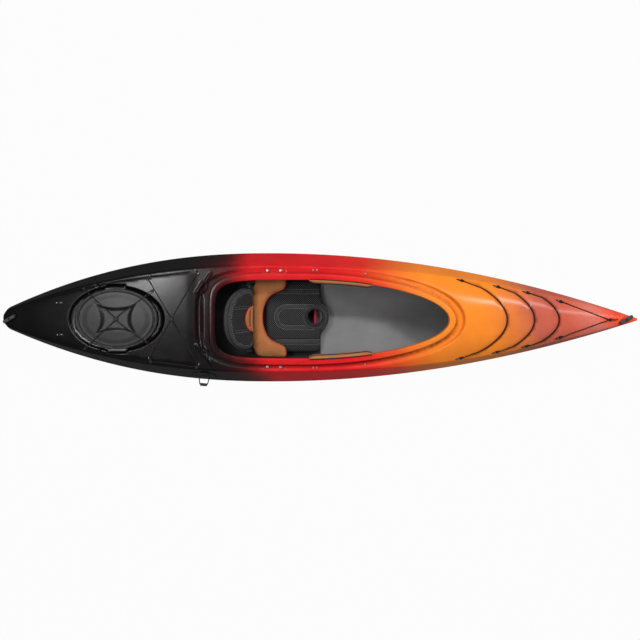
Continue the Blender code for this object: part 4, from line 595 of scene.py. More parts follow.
def frame_to(place, normal, forward):
    """Matrix with +Z along a normal and +X as near as can be to a direction."""
    z = Vector(normal).normalized()
    y = z.cross(Vector(forward)).normalized()
    return Matrix.Translation(place) @ Matrix((y.cross(z), y, z)).transposed().to_4x4()


class Surface:
    """Search tree of a mesh, for seating pieces on it."""

    def __init__(self, mesh):
        points = [v.co.copy() for v in mesh.vertices]
        self.tree = BVHTree.FromPolygons(points, [tuple(p.vertices) for p in mesh.polygons])

    def drop(self, x, y):
        """Place and normal straight below a point of the plan."""
        return self.tree.ray_cast(flat(x, y, 1.0), flat(0, 0, -1))[:2]

    def seat(self, x, y, reach):
        """Place and normal that set a flat base of some reach on the surface."""
        point = self.drop(x, y)[0]
        ring = [self.drop(x + reach * c, y + reach * s)[0] for c, s in circle(12)]
        normal = flat(0, 0)
        for a, b in zip(ring, ring[1:] + ring[:1]):
            normal += (a - point).cross(b - point)
        normal.normalize()
        high = max((p - point).dot(normal) for p in ring)
        return point + normal * (high * 0.5 + 0.0003), normal

    def lift(self, points, need, closed=False):
        """Moves a line of points away from the surface wherever its spans come too near."""
        line = [Vector(p) for p in points]
        for _ in range(8):
            for i in range(len(line) if closed else len(line) - 1):
                j = (i + 1) % len(line)
                for share in (0.0, 0.5, 1.0):
                    point = line[i].lerp(line[j], share)
                    near, normal, _, distance = self.tree.find_nearest(point)
                    outside = (point - near).dot(normal) > 0
                    away = (point - near).normalized() if outside and distance > 1e-7 else normal
                    short = need - (distance if outside else -distance)
                    if short > 0:
                        line[i] += away * short * (1 - share)
                        line[j] += away * short * share
        return line


SURFACES = {}


# Shell pieces

def away_point(edge, turn, grow):
    """Point some way outside a closed edge given as a function of its turn."""
    (x, y), (ax, ay), (bx, by) = (edge(turn + step) for step in (0.0, 0.01, -0.01))
    length = hypot(ax - bx, ay - by)
    return x + (ay - by) / length * grow, y - (ax - bx) / length * grow


def fine_grid(low_x, high_x, low_y, high_y, spacing):
    columns, rows = ceil((high_x - low_x) / spacing) + 1, ceil((high_y - low_y) / spacing) + 1
    return [(low_x + i * spacing, low_y + j * spacing) for i in range(columns) for j in range(rows)]


def plan_points():
    """Points of the deck's plan: its features first, then a grid that keeps clear of them."""
    points, borders = [], []
    turns = [2 * pi * i / AROUND for i in range(AROUND)]
    rounds = [2 * pi * i / HATCH_AROUND for i in range(HATCH_AROUND)]
    xs = [-HALF_LENGTH + 2 * HALF_LENGTH * i / SEAM_STEPS for i in range(SEAM_STEPS + 1)]
    neck_long, neck_half = HATCH_LONG - NECK_INSET, HATCH_HALF - NECK_INSET
    for line in (
        [(x, half_beam(x)) for x in xs] + [(x, -half_beam(x)) for x in xs[::-1]],
        [outline_point(COCKPIT_INNER, t, COAMING_WALL) for t in turns],
        [(HATCH_X + neck_long * cos(t), neck_half * sin(t)) for t in rounds],
    ):
        borders += [(len(points) + i, len(points) + (i + 1) % len(line)) for i in range(len(line))]
        points += line
    for grow in (0.010, 0.006, 0.003, 0.0, -0.003, -0.006, -0.009, -0.012, -0.018):
        points += [outline_point(MOAT_OUTER, t, grow) for t in turns]
    for grow in (0.018, 0.030, 0.044):
        points += [outline_point(COCKPIT_INNER, t, grow) for t in turns]
    for grow in (0.008, 0.004, 0.001, -0.002, -0.005, -0.008, -0.012):
        points += [away_point(recess_edge, t, grow) for t in rounds]
    for number in range(3):
        wide = crease_half(arc_sweep(number)[0]) * 0.99
        for ahead in (-0.006, -0.0025, 0.001, 0.0045, 0.008):
            points += [(arc_x(number, wide * i / 40, ahead), wide * i / 40) for i in range(-40, 41)]
    for x in xs[2:-2]:
        spans = [crease_half(x) + d for d in (-0.010, -0.005, -0.0015, 0.0015, 0.005, 0.010)
                 if abs(d) < half_beam(x) * 0.15]
        if -1.80 < x < -0.74:
            spans += [half_beam(x) * PANEL_SHARE + d for d in (-0.003, 0.0, 0.003)]
        for side in SIDES.values():
            points += [(x, side * y) for y in spans if outline_away(MOAT_OUTER, x, y) > 0.012]
    for side in SIDES.values():
        for low_x, high_x, near, far, spacing in FINE_BOTH_SIDES:
            points += fine_grid(low_x, high_x, *sorted((side * near, side * far)), spacing)
    points += fine_grid(*FINE_PORT)
    for middle, long, _, _ in TOGGLE_POCKETS:
        points += fine_grid(middle - long, middle + long, -0.034, 0.034, 0.004)
    taken = {(round(x / GRID_CELL), round(y / GRID_CELL)) for x, y in points}
    for i in range(GRID_COLUMNS):
        for j in range(-GRID_ROWS, GRID_ROWS + 1):
            x, y = GRID_START + GRID_X * i, GRID_Y * j
            a, b = round(x / GRID_CELL), round(y / GRID_CELL)
            if not any((a + m, b + n) in taken for m in (-1, 0, 1) for n in (-1, 0, 1)):
                points.append((x, y))
    return points, borders


def kept_in_plan(x, y):
    neck = hypot((x - HATCH_X) / (HATCH_LONG - NECK_INSET), y / (HATCH_HALF - NECK_INSET))
    if neck < 1 or abs(x) > HALF_LENGTH or abs(y) > half_beam(x) + 1e-4:
        return False
    reach, power = half_of(COCKPIT_INNER, x > COCKPIT_X)
    across, up = abs(x - COCKPIT_X) / (reach + COAMING_WALL), abs(y) / (COCKPIT_INNER[2] + COAMING_WALL)
    return across**power + up**power > 1


def deck_skin():
    """Deck's outside, from its seam to the coaming's wall and the hatch's neck."""
    points, borders = plan_points()
    seen, renamed, clean = {}, [], []
    for x, y in points:
        key = (round(x, 5), round(y, 5))
        if key not in seen:
            seen[key] = len(clean)
            clean.append(Vector((x, y)))
        renamed.append(seen[key])
    borders = [(renamed[a], renamed[b]) for a, b in borders if renamed[a] != renamed[b]]
    on_border = {end for border in borders for end in border}
    order = {}
    for i, p in enumerate(clean):
        if i in on_border or abs(p.y) < half_beam(p.x) + 1e-6:
            order[i] = len(order)
    edges = [(order[a], order[b]) for a, b in borders]
    plan, _, faces, *_ = delaunay_2d_cdt([clean[i] for i in order], edges, [], 0, 1e-7)
    kept = [face for face in faces if kept_in_plan(*sum((plan[i] for i in face), Vector((0, 0))) / len(face))]
    used = sorted({i for face in kept for i in face})
    index = {old: new for new, old in enumerate(used)}
    lifted = []
    for x, y in (plan[i] for i in used):
        on_seam = abs(y) > half_beam(x) - 1e-5
        lifted.append((x, y, seam_z(x) + SEAM_GAP if on_seam else deck_z(x, y)))

    def upward(work):
        for face in work.faces:
            if face.normal.z < 0:
                face.normal_flip()

    mesh = edited(raw(lifted, [tuple(index[i] for i in face) for face in kept]), upward)
    mesh.shade_smooth()
    return mesh


def coaming_ring():
    """Coaming's foot, wall and rolled rim, over the moat's ledge."""
    places = (
        (0.0180, "foot", 0.0), (0.0115, "foot", 0.0012), (0.0090, "foot", 0.0040), (0.0080, "foot", 0.0090),
        (0.0080, "under", -0.0040), (0.0095, "under", -0.0010), (0.0130, "under", 0.0),
        (0.0330, "under", 0.0), (0.0368, "under", 0.0012), (RIM_WIDTH, "under", 0.0042),
        (0.0372, "rim", -0.0026), (0.0345, "rim", -0.0006), (0.0290, "rim", 0.0004), (0.0190, "rim", 0.0008),
        (0.0090, "rim", 0.0004), (0.0045, "rim", -0.0004), (0.0014, "rim", -0.0024), (0.0, "rim", -0.0060),
        (0.0, "ledge", -0.0010), (0.0, "ledge", -WALL), (0.0080, "ledge", -WALL), (0.0160, "ledge", -0.0045),
    )
    loops = [[] for _ in places]
    for i in range(AROUND):
        turn = 2 * pi * i / AROUND
        rim = rim_z(turn)
        foot = deck_z(*outline_point(COCKPIT_INNER, turn, 0.018))
        heights = {"foot": foot, "under": rim - RIM_THICK, "rim": rim, "ledge": ledge_z(turn)}
        for loop, (grow, kind, rise) in zip(loops, places):
            loop.append((*outline_point(COCKPIT_INNER, turn, grow), heights[kind] + rise))
    return skin(loops, ring=True, sharp=70)


def hatch_neck():
    """Upstanding neck that the lid fits over."""
    places = (
        (NECK_INSET, HATCH_FLOOR - 0.004), (NECK_INSET, NECK_TOP - 0.0015), (0.0135, NECK_TOP),
        (0.0165, NECK_TOP), (0.0180, NECK_TOP - 0.0015), (0.0180, HATCH_FLOOR - WALL),
    )
    loops = []
    for inset, z in places:
        long, wide = HATCH_LONG - inset, HATCH_HALF - inset
        loops.append([(HATCH_X + long * c, wide * s, z) for c, s in circle(120)])
    return skin(loops, ring=True, sharp=60)


def hull_section(x, count=22):
    """Bottom's outside as (y, z) from the port seam to the starboard seam."""
    half, top, bottom = half_beam(x), seam_z(x), keel_z(x)
    sharp = end_share(x) ** 2.5
    power, vee = blend(*SECTION_POWERS, sharp), blend(*SECTION_VEES, sharp)
    line = [(0.0, bottom)]
    for i in range(count + 1):
        angle = pi / 2 * i / count
        across = sin(angle) ** (2 / power)
        up = vee * across + (1 - vee) * (1 - max(0.0, cos(angle)) ** (2 / power))
        line.append((blend(min(KEEL_FLAT / 2, 0.35 * half), half, across), blend(bottom, top, up)))
    return line[::-1] + [(-y, z) for y, z in line[1:]]


def hull_inside(x):
    """Bottom's inside, where the floor rises each way from a crease along the keel."""
    line = hull_section(x)
    normals = []
    for (y0, z0), (y1, z1) in zip(line, line[1:]):
        length = max(1e-9, hypot(y1 - y0, z1 - z0))
        normals.append(((z1 - z0) / length, (y0 - y1) / length))
    wide = half_beam(x) * 0.55
    moved = []
    for (y, z), before, after in zip(line, normals[:1] + normals, normals + normals[-1:]):
        scale = WALL / (1 + before[0] * after[0] + before[1] * after[1])
        y, z = y + (before[0] + after[0]) * scale, z + (before[1] + after[1]) * scale
        rise = 0.016 * min(abs(y) / wide, 1.0) * (1 - smooth_share(abs(y), wide, half_beam(x)))
        moved.append((y, z + rise))
    for end in (0, -1):
        moved[end] = (moved[end][0], seam_z(x))
    return moved


def hull_mesh():
    """Closed shell of the bottom: outside, inside, rim along the seam and solid ends."""
    low, high = -HALF_LENGTH + SOLID_STERN, HALF_LENGTH - SOLID_BOW
    xs = {-HALF_LENGTH * cos(pi * i / HULL_STEPS) for i in range(HULL_STEPS + 1)}
    xs = sorted({x for x in xs if min(abs(x - low), abs(x - high)) > 0.006} | {low, high})
    points, faces, kinds = [], [], []

    def row(x, section):
        points.extend((x, y, z) for y, z in section)
        return list(range(len(points) - len(section), len(points)))

    def add(face, kind=1):
        faces.append(face)
        kinds.append(kind)

    outer = [row(x, hull_section(x)) for x in xs]
    inner = [row(x, hull_inside(x)) if low - 1e-9 <= x <= high + 1e-9 else None for x in xs]
    for here, there, in_here, in_there in zip(outer, outer[1:], inner, inner[1:]):
        for k in range(len(here) - 1):
            add((here[k], there[k], there[k + 1], here[k + 1]), 0)
        if in_here and in_there:
            for k in range(len(in_here) - 1):
                add((in_here[k], in_here[k + 1], in_there[k + 1], in_there[k]))
            add((here[0], in_here[0], in_there[0], there[0]))
            add((here[-1], there[-1], in_there[-1], in_here[-1]))
        elif in_there:
            add((here[0], here[-1], there[-1], in_there[-1], in_there[0], there[0]))
        elif in_here:
            add((here[0], in_here[0], in_here[-1], here[-1], there[-1], there[0]))
        else:
            add((here[0], here[-1], there[-1], there[0]))
    walls = [line for line in inner if line]
    add(tuple(walls[0]))
    add(tuple(walls[-1][::-1]))
    add(tuple(outer[0][::-1]), 0)
    add(tuple(outer[-1]), 0)
    mesh = raw(points, faces)
    mesh.polygons.foreach_set("material_index", kinds)
    smoothed(edited(mesh, outward), 30)
    sharp = mesh.attributes["sharp_edge"].data
    for edge in mesh.edges:
        ends = [mesh.vertices[i].co for i in edge.vertices]
        if all(abs(p.y) < 1e-5 for p in ends) and all(p.z > keel_z(p.x) + WALL / 2 for p in ends):
            sharp[edge.index].value = True
    return mesh


def crease_share(spot):
    """How far the shell's colour goes dark in the steps' feet, beside the coaming and round the hatch."""
    x, y = spot.xy
    # Painted shadow beside the coaming's foot, darker on the starboard side, away from the key lamp.
    away = (outline_away(COCKPIT_INNER, x, y) - RIM_WIDTH - 0.003) / 0.006
    share = (0.40 if y > 0 else 0.80) * exp(-away * away)
    # Painted shade in the feet of the front deck's steps.
    for number in range(3):
        bow = arc_bow(number, y)
        away = (x - arc_x(number, y, 0.0045)) / blend(0.0058, 0.0085, bow)
        share = max(share, 0.92 * min(1.0, 2.2 * bow) * exp(-away * away))
    # Painted shade in the floor of the hatch's recess.
    if hypot((x - HATCH_X) / HATCH_LONG, y / HATCH_HALF) < 1.6:
        share = max(share, 0.80 * smooth_share(-recess_away(x, y), 0.001, 0.006))
    return share


def creased(mesh, share_at):
    """Writes how far the colour goes dark at each point, for the finishes to read."""
    shade = mesh.attributes.new("crease", "FLOAT", "POINT")
    for value, vertex in zip(shade.data, mesh.vertices):
        value.value = share_at(vertex.co)


# Finishes

SHEEN = 0.10
BLACK, WHITE = (0, 0, 0), (1, 1, 1)


class Paint:
    """One material, with short calls that add and link its nodes."""

    def __init__(self, name, roughness=0.5, metallic=0.0):
        self.material = bpy.data.materials.new(name)
        self.material.use_nodes = True
        self.tree = self.material.node_tree
        self.shader = self.tree.nodes["Principled BSDF"]
        self.set("Roughness", roughness)
        self.set("Metallic", metallic)
        self.set("Specular IOR Level", 0.5 if metallic else SHEEN)

    def fill(self, socket, source):
        """Links an output to a socket, or gives the socket a value."""
        if hasattr(source, "is_output"):
            self.tree.links.new(source, socket)
        else:
            socket.default_value = (*source, 1.0) if socket.type == "RGBA" else source

    def set(self, name, source):
        self.fill(self.shader.inputs[name], source)
        return self

    def add(self, kind, inputs=(), **values):
        node = self.tree.nodes.new("ShaderNode" + kind)
        for key, value in values.items():
            setattr(node, key, value)
        for key, source in inputs:
            self.fill(node.inputs[key], source)
        return node

    def spot(self, scale=(1, 1, 1), uv=False):
        """Object or UV position, scaled."""
        source = self.add("TexCoord").outputs["UV" if uv else "Object"]
        return self.add("Mapping", [("Vector", source), ("Scale", scale)]).outputs[0]

    def split(self, vector):
        return self.add("SeparateXYZ", [(0, vector)]).outputs

    def noise(self, vector, scale, detail=3.0, rough=0.5):
        inputs = [("Vector", vector), ("Scale", scale), ("Detail", detail), ("Roughness", rough)]
        return self.add("TexNoise", inputs).outputs["Fac"]

    def math(self, operation, a, b=0.0, c=0.0):
        return self.add("Math", enumerate((a, b, c)), operation=operation).outputs[0]

    def ramp(self, value, stops, smooth=False):
        node = self.add("ValToRGB", [("Fac", value)])
        points = node.color_ramp.elements
        node.color_ramp.interpolation = "EASE" if smooth else "LINEAR"
        while len(points) < len(stops):
            points.new(0.5)
        for point, (place, colour) in zip(points, stops):
            point.position = place
            point.color = (*(colour if isinstance(colour, tuple) else [colour] * 3), 1.0)
        return node.outputs["Color"]

    def mix(self, share, a, b, mode="MIX"):
        return self.add("Mix", ((0, share), (6, a), (7, b)), data_type="RGBA", blend_type=mode).outputs[2]

    def colour(self, source):
        return self.set("Base Color", source)

    def tone(self, value, dark, light):
        """Colour between two (place, colour) stops of a value."""
        return self.colour(self.ramp(value, (dark, light)))

    def crease(self, face, deep):
        """Colour that goes deep where the mesh's own crease attribute is high."""
        share = self.add("Attribute", attribute_name="crease").outputs["Fac"]
        return self.colour(self.mix(share, face, deep))

    def rough(self, value, low, high):
        """Roughness that follows a value from 0 to 1."""
        node = self.add("MapRange", [("Value", value), ("To Min", low), ("To Max", high)])
        return self.set("Roughness", node.outputs[0])

    def bump(self, height, distance, strength=1.0):
        node = self.add("Bump", [("Height", height), ("Distance", distance), ("Strength", strength)])
        old = self.shader.inputs["Normal"].links
        if old:
            self.fill(node.inputs["Normal"], old[0].from_socket)
        return self.set("Normal", node.outputs[0])


def looks():
    return bpy.context.scene.kayak_looks


def shell_finish(name):
    """Rotomoulded polyethylene whose colours run into each other along the boat."""
    paint = Paint(name, 0.36)
    spot = paint.spot()
    along, across = paint.split(spot)[:2]
    streak = paint.noise(paint.spot((1.6, 5.0, 5.0)), 1.7, 5.0, 0.62)
    place = paint.math("ADD", along, paint.math("MULTIPLY_ADD", streak, 0.22, -0.11))
    place = paint.math("MULTIPLY_ADD", paint.math("MINIMUM", across, 0.0), 0.40, place)
    share = paint.math("MULTIPLY_ADD", place, 0.5 / HALF_LENGTH, 0.5)
    settings = ("stern", "middle", "fore", "shade", "bow")
    dark, red, orange, shade, bow = (tuple(getattr(looks(), setting)) for setting in settings)
    stops = (
        (-1.905, dark, 0.9), (-0.78, dark, 1.0), (-0.68, mixed(dark, red, 0.015), 1.0),
        (-0.60, mixed(dark, red, 0.045), 1.0), (-0.535, mixed(dark, red, 0.15), 1.0),
        (-0.475, mixed(dark, red, 0.48), 1.0), (-0.41, red, 0.93), (0.02, red, 1.0),
        (0.23, mixed(red, orange, 0.05), 1.05), (0.37, mixed(red, orange, 0.28), 1.0),
        (0.50, mixed(red, orange, 0.68), 1.0), (0.64, orange, 0.97), (0.98, orange, 1.0),
        (1.16, mixed(orange, shade, 0.45), 0.98), (1.29, shade, 1.0), (1.48, mixed(shade, bow, 0.18), 1.0),
        # The pale pink mixed in at 1.64 m is a painted highlight on the bow's deck.
        (1.64, mixed(mixed(shade, bow, 0.40), (1.0, 0.8, 0.75), 0.10), 1.0), (1.80, bow, 1.0),
        (1.905, mixed(bow, orange, 0.15), 1.05),
    )
    ramp = [(0.5 + 0.5 * x / HALF_LENGTH, tuple(min(1.0, c * k) for c in colour)) for x, colour, k in stops]
    colour = paint.ramp(share, ramp)
    cloud = paint.noise(spot, 9.0, 4.0, 0.6)
    speck = paint.noise(spot, 320.0, 2.0)
    tone = paint.ramp(paint.math("MULTIPLY_ADD", speck, 0.25, cloud), ((0.35, 0.90), (0.95, 1.06)))
    colour = paint.mix(1.0, colour, tone, "MULTIPLY")
    # Painted shade in a dark red where the crease attribute is high: the steps' feet, the coaming's foot and
    # the hatch's recess.
    paint.crease(colour, paint.mix(1.0, colour, (0.20, 0.11, 0.10), "MULTIPLY"))
    paint.rough(cloud, 0.16, 0.27)
    paint.bump(paint.noise(paint.spot((0.6, 1.0, 1.0)), 11.0, 2.0), 0.0011, 0.30)
    return paint.bump(paint.noise(spot, 420.0, 2.0), 0.00010, 0.15)


def inside_finish(name):
    """Grey inner layer of the shell, a little cloudy, with fine drag marks."""
    paint = Paint(name, 0.52)
    spot = paint.spot()
    grey = tuple(looks().inside)
    cloud = paint.noise(spot, 4.0, 5.0, 0.6)
    drag = paint.noise(paint.spot((2.0, 60.0, 60.0)), 3.0, 3.0)
    tone = paint.math("MULTIPLY_ADD", drag, 0.25, cloud)
    face = paint.ramp(tone, ((0.30, mixed(grey, BLACK, 0.16)), (0.95, mixed(grey, WHITE, 0.05))))
    # Painted shade: aft of the boat's middle the inside's colour falls to 7%, nearly black.
    place = paint.math("MULTIPLY_ADD", cloud, 0.05, paint.split(spot)[0])
    aft = paint.ramp(place, ((0.0, 0.07), (0.03, 1.0)), smooth=True)
    paint.colour(paint.mix(1.0, face, aft, "MULTIPLY")).rough(cloud, 0.44, 0.62)
    return paint.bump(paint.noise(spot, 260.0, 3.0), 0.00015, 0.5)


def plastic_finish(name, colour, grain=520.0, roughness=(0.38, 0.55), wear=0.22):
    """Moulded plastic or rubber with a fine grain and faint rub marks."""
    paint = Paint(name, roughness[0])
    spot = paint.spot()
    rub = paint.noise(spot, 34.0, 5.0, 0.65)
    face = paint.ramp(rub, ((0.30, mixed(colour, BLACK, wear)), (0.75, mixed(colour, WHITE, wear / 9))))
    # Painted shade, nearly black, where the mesh's crease attribute is high: the walls of the lid's star.
    paint.crease(face, mixed(colour, BLACK, 0.95)).rough(rub, *roughness)
    return paint.bump(paint.noise(spot, grain, 2.0), 0.00012, 0.6)


def braid_finish(name, dark, light, strands=4.0, pitch=0.9):
    """Braided cover of a cord: two sets of strands that cross, from the cord's own UV map."""
    paint = Paint(name, 0.75)
    parts = paint.split(paint.spot(uv=True))
    along = paint.math("MULTIPLY", parts[0], 2 * pi * pitch)
    around = paint.math("MULTIPLY", parts[1], 2 * pi * strands)
    left, right = (paint.math("SINE", paint.math(way, along, around)) for way in ("ADD", "SUBTRACT"))
    weave = paint.math("MULTIPLY_ADD", paint.math("MAXIMUM", left, right), 0.5, 0.5)
    fleck = paint.noise(paint.spot(), 700.0, 2.0)
    tone = paint.math("MULTIPLY_ADD", fleck, 0.35, paint.math("MULTIPLY", weave, 0.8))
    return paint.tone(tone, (0.15, dark), (0.95, light)).rough(weave, 0.85, 0.62).bump(weave, 0.0005, 0.9)


def mesh_finish(name, plane="XY"):
    """Spacer mesh: a black open knit of small round holes over darker foam."""
    paint = Paint(name, 0.88)
    parts = paint.split(paint.spot())
    first, second = (parts["XYZ".index(letter)] for letter in plane)
    sheet = paint.add("CombineXYZ", [(0, first), (1, second)]).outputs[0]
    cell = looks().mesh_cell
    turned_45 = paint.add(
        "Mapping", [("Vector", sheet), ("Rotation", (0, 0, pi / 4)), ("Scale", (1 / cell, 1 / cell, 1))]
    ).outputs[0]
    inputs = [("Vector", turned_45), ("Scale", 1.0), ("Randomness", 0.0)]
    holes = paint.add("TexVoronoi", inputs, voronoi_dimensions="2D").outputs["Distance"]
    knit = paint.ramp(holes, ((0.36, 0.0), (0.47, 1.0)), smooth=True)
    yarn = paint.noise(paint.spot(), 900.0, 2.0)
    face = paint.ramp(yarn, ((0.3, (0.038, 0.038, 0.040)), (0.7, (0.075, 0.075, 0.078))))
    paint.colour(paint.mix(knit, (0.003, 0.003, 0.003), face)).rough(knit, 0.95, 0.68)
    return paint.bump(knit, 0.0009, 0.9).bump(yarn, 0.0002, 0.5)


def cloth_finish(name, colour, thread=0.0011, sheen=0.08):
    """Plain-woven cloth, with its threads over and under on all three axes."""
    paint = Paint(name, 0.82)
    spot = paint.spot()
    x, y, z = (
        paint.math("SINE", paint.math("MULTIPLY", line, 2 * pi / thread)) for line in paint.split(spot)
    )
    weave = paint.math("MULTIPLY_ADD", paint.math("MULTIPLY", paint.math("ADD", x, z), y), 0.25, 0.5)
    slub = paint.noise(paint.spot((1, 8, 1)), 60.0, 4.0, 0.6)
    worn = paint.math("MULTIPLY", paint.noise(spot, 14.0, 4.0, 0.6), 0.4)
    tone = paint.math("MULTIPLY_ADD", slub, 0.5, paint.math("MULTIPLY_ADD", weave, 0.25, worn))
    paint.tone(tone, (0.28, mixed(colour, BLACK, 0.24)), (0.78, mixed(colour, WHITE, 0.05)))
    paint.set("Sheen Weight", sheen).set("Sheen Roughness", 0.5)
    return paint.rough(weave, 0.90, 0.76).bump(weave, 0.00025, 0.8)


def web_finish(name, colour):
    """Flat webbing: ribs across it and a selvedge grain."""
    paint = Paint(name, 0.7)
    line = paint.split(paint.spot())
    rib = paint.math("SINE", paint.math("MULTIPLY", line[1], 2 * pi / 0.0016))
    herring = paint.math("SINE", paint.math("MULTIPLY_ADD", line[0], 2 * pi / 0.003, rib))
    tone = paint.math("MULTIPLY_ADD", herring, 0.25, 0.5)
    paint.tone(tone, (0.1, mixed(colour, BLACK, 0.3)), (0.8, colour))
    return paint.rough(tone, 0.8, 0.6).bump(tone, 0.0003, 0.8)


def metal_finish(name, colour, drag=(600, 30, 30), roughness=(0.24, 0.38)):
    """Bare metal with the drag lines of its making."""
    paint = Paint(name, roughness[0], 1.0)
    lines = paint.noise(paint.spot(drag), 1.0, 3.0)
    paint.tone(lines, (0.3, mixed(colour, BLACK, 0.12)), (0.7, colour))
    return paint.rough(lines, *roughness).bump(lines, 0.00005, 0.5)


def foam_finish(name, colour):
    """Closed-cell foam: small pits and a soft bloom."""
    paint = Paint(name, 0.92)
    spot = paint.spot()
    pits = paint.add("TexVoronoi", [("Vector", spot), ("Scale", 260.0)]).outputs["Distance"]
    tone = paint.math("MULTIPLY_ADD", pits, 0.4, paint.noise(spot, 18.0, 4.0))
    paint.tone(tone, (0.3, mixed(colour, BLACK, 0.3)), (0.9, mixed(colour, WHITE, 0.06)))
    return paint.bump(pits, 0.0006, 0.8)


def lid_finish(name):
    """The lid's rubber, which reflects less than the other mouldings."""
    return plastic_finish(name, tuple(looks().lid), 300.0, (0.32, 0.42), 0.10).set("Specular IOR Level", 0.15)


FINISHES = {
    "shell": shell_finish,
    "inside": inside_finish,
    "black": lambda name: plastic_finish(name, (0.014, 0.014, 0.015)),
    "eye_black": lambda name: plastic_finish(name, (0.010, 0.010, 0.011), 700.0, (0.28, 0.45)),
    "lid": lid_finish,
    "grip": lambda name: plastic_finish(name, (0.055, 0.055, 0.058), 600.0, (0.42, 0.60)),
    "braid": lambda name: braid_finish(name, (0.005, 0.004, 0.004), (0.024, 0.018, 0.016)),
    "loop_wire": lambda name: plastic_finish(name, (0.010, 0.010, 0.011), 900.0, (0.35, 0.5)),
    "seat_mesh": mesh_finish,
    "back_mesh": lambda name: mesh_finish(name, "YZ"),
    "black_cloth": lambda name: cloth_finish(name, (0.010, 0.010, 0.011), 0.0009, 0.02),
    "tan_cloth": lambda name: cloth_finish(name, tuple(looks().pads)),
    # The pad cloth 15% darker: painted shade for the pads' sides, also used for their stitches.
    "tan_side": lambda name: cloth_finish(name, mixed(looks().pads, BLACK, 0.15)),
    "red_piping": lambda name: braid_finish(name, (0.28, 0.012, 0.010), tuple(looks().piping), 3.0, 1.6),
    "grey_thread": lambda name: braid_finish(name, (0.09, 0.09, 0.09), (0.26, 0.26, 0.27), 2.0, 1.2),
    "black_edge": lambda name: braid_finish(name, (0.004, 0.004, 0.004), (0.016, 0.016, 0.017), 3.0, 1.6),
    "webbing": lambda name: web_finish(name, srgb(168, 26, 52)),
    "foam": lambda name: foam_finish(name, (0.13, 0.13, 0.14)),
    "steel": lambda name: metal_finish(name, (0.44, 0.44, 0.45)),
    "dark_steel": lambda name: metal_finish(name, (0.06, 0.06, 0.06)),
    "rivet": lambda name: metal_finish(name, (0.36, 0.35, 0.34), (300, 300, 300), (0.38, 0.52)),
    "alloy": lambda name: metal_finish(name, (0.50, 0.50, 0.52), (12, 700, 700)),
}


def finish(name):
    """Finish by name, made when it is first asked for."""
    label = "kayak_" + name
    if label not in bpy.data.materials:
        FINISHES[name](label)
    return bpy.data.materials[label]


# Shell and hatch lid

def make_shell():
    """Builds the deck and the hull"""
    outside = painted(deck_skin(), "shell", "inside")
    creased(outside, crease_share)
    SURFACES["deck"] = Surface(outside)
    walled = applied(outside, "SOLIDIFY", thickness=WALL, offset=-1, material_offset=1, material_offset_rim=1)
    deck = joined(walled, painted(coaming_ring(), "shell"), painted(hatch_neck(), "shell"))
    deck.set_sharp_from_angle(angle=radians(50))
    show("deck_shell", deck, "deck")
    show("hull_shell", painted(hull_mesh(), "shell", "inside"), "hull")


STAR_POWER = 0.62
BUTTON_RINGS = (
    (0.0122, 0.0068), (0.013, 0.0078), (0.0126, 0.0100), (0.0105, 0.0112), (0.0040, 0.0115),
    (0.0034, 0.0108),
)


def lid_star(u, v):
    """Size of the star through a place of the lid, given in shares of its half length and width."""
    along, across = abs(u + v) / 1.41421, abs(u - v) / 1.41421
    return (along**STAR_POWER + across**STAR_POWER) ** (1 / STAR_POWER)


def lid_height(u, v):
    """Top of the lid at shares of its half length and half width."""
    share = hypot(u, v)
    if share > 0.985:
        return LID_EDGE - 0.0030 * smooth_share(share, 0.985, 1.0)
    groove = 0.0040 * max(0.0, 1 - (abs(share - 0.920) / 0.030) ** 2)
    lobe = smooth_share(lid_star(u, v), 0.56, 0.84)
    slope = 1 - 0.55 * smooth_share(share, 0.22, 0.95) / smooth_share(0.735, 0.22, 0.95)
    slope = blend(slope, 0.0, smooth_share(share, 0.690, 0.860))
    sunk = 0.0036 * (1 - lobe) * (1 - smooth_share(share, 0.45, 0.75))
    return LID_TOP - LID_RELIEF * 0.86 * (1 - lobe * slope) - groove - sunk


def lid_crease(spot):
    """How dark the lid's colour goes in the walls of its star."""
    if spot.z <= LID_UNDER + 0.0005:
        return 0.0
    u, v = (spot.x - HATCH_X) / HATCH_LONG, spot.y / HATCH_HALF
    star = lid_star(u, v)
    wall = smooth_share(star, 0.52, 0.72) * (1 - smooth_share(star, 0.76, 0.88))
    return 0.70 * wall * (1 - smooth_share(hypot(u, v), 0.55, 0.76))


def make_lid():
    """Builds the hatch lid and its centre button"""
    shares = {i / 60 for i in range(2, 61)}
    shares |= {0.742, 0.758, 0.775, 0.888, 0.893, 0.908, 0.926, 0.942, 0.947, 0.952, 0.987, 0.991, 0.996}
    loops = []
    for share in sorted(shares):
        loops.append([
            (HATCH_X + HATCH_LONG * (share * c), HATCH_HALF * (share * s), lid_height(share * c, share * s))
            for c, s in circle(216)
        ])
    skirt = 1 - 0.006 / HATCH_HALF
    for share, z in ((1.0, 0.279), (0.997, 0.2775), (skirt, 0.2775), (skirt, LID_UNDER), (0.30, LID_UNDER)):
        loops.append([(HATCH_X + HATCH_LONG * share * c, HATCH_HALF * share * s, z) for c, s in circle(216)])
    lid = skin(loops, tips=((HATCH_X, 0, lid_height(0, 0)), (HATCH_X, 0, LID_UNDER)), sharp=60)

    # The faces of the groove near the lid's edge take the darker eye_black finish: painted shade in the
    # groove.
    def grooved(middle, normal):
        share = hypot((middle.x - HATCH_X) / HATCH_LONG, middle.y / HATCH_HALF)
        return normal.z > 0 and 0.893 < share < 0.948

    creased(faced(lid, ("lid", "eye_black"), grooved), lid_crease)
    post = turned(((0.006, LID_TOP - 0.004), (0.006, LID_TOP + 0.006)), 24, "black")
    cap = turned([(radius, LID_TOP + z) for radius, z in BUTTON_RINGS], 32, "black")
    spot = Matrix.Translation((HATCH_X, 0, 0))
    show("hatch_cover", joined(lid, placed(post, spot), placed(cap, spot)), "hatch_lid")


# Stage

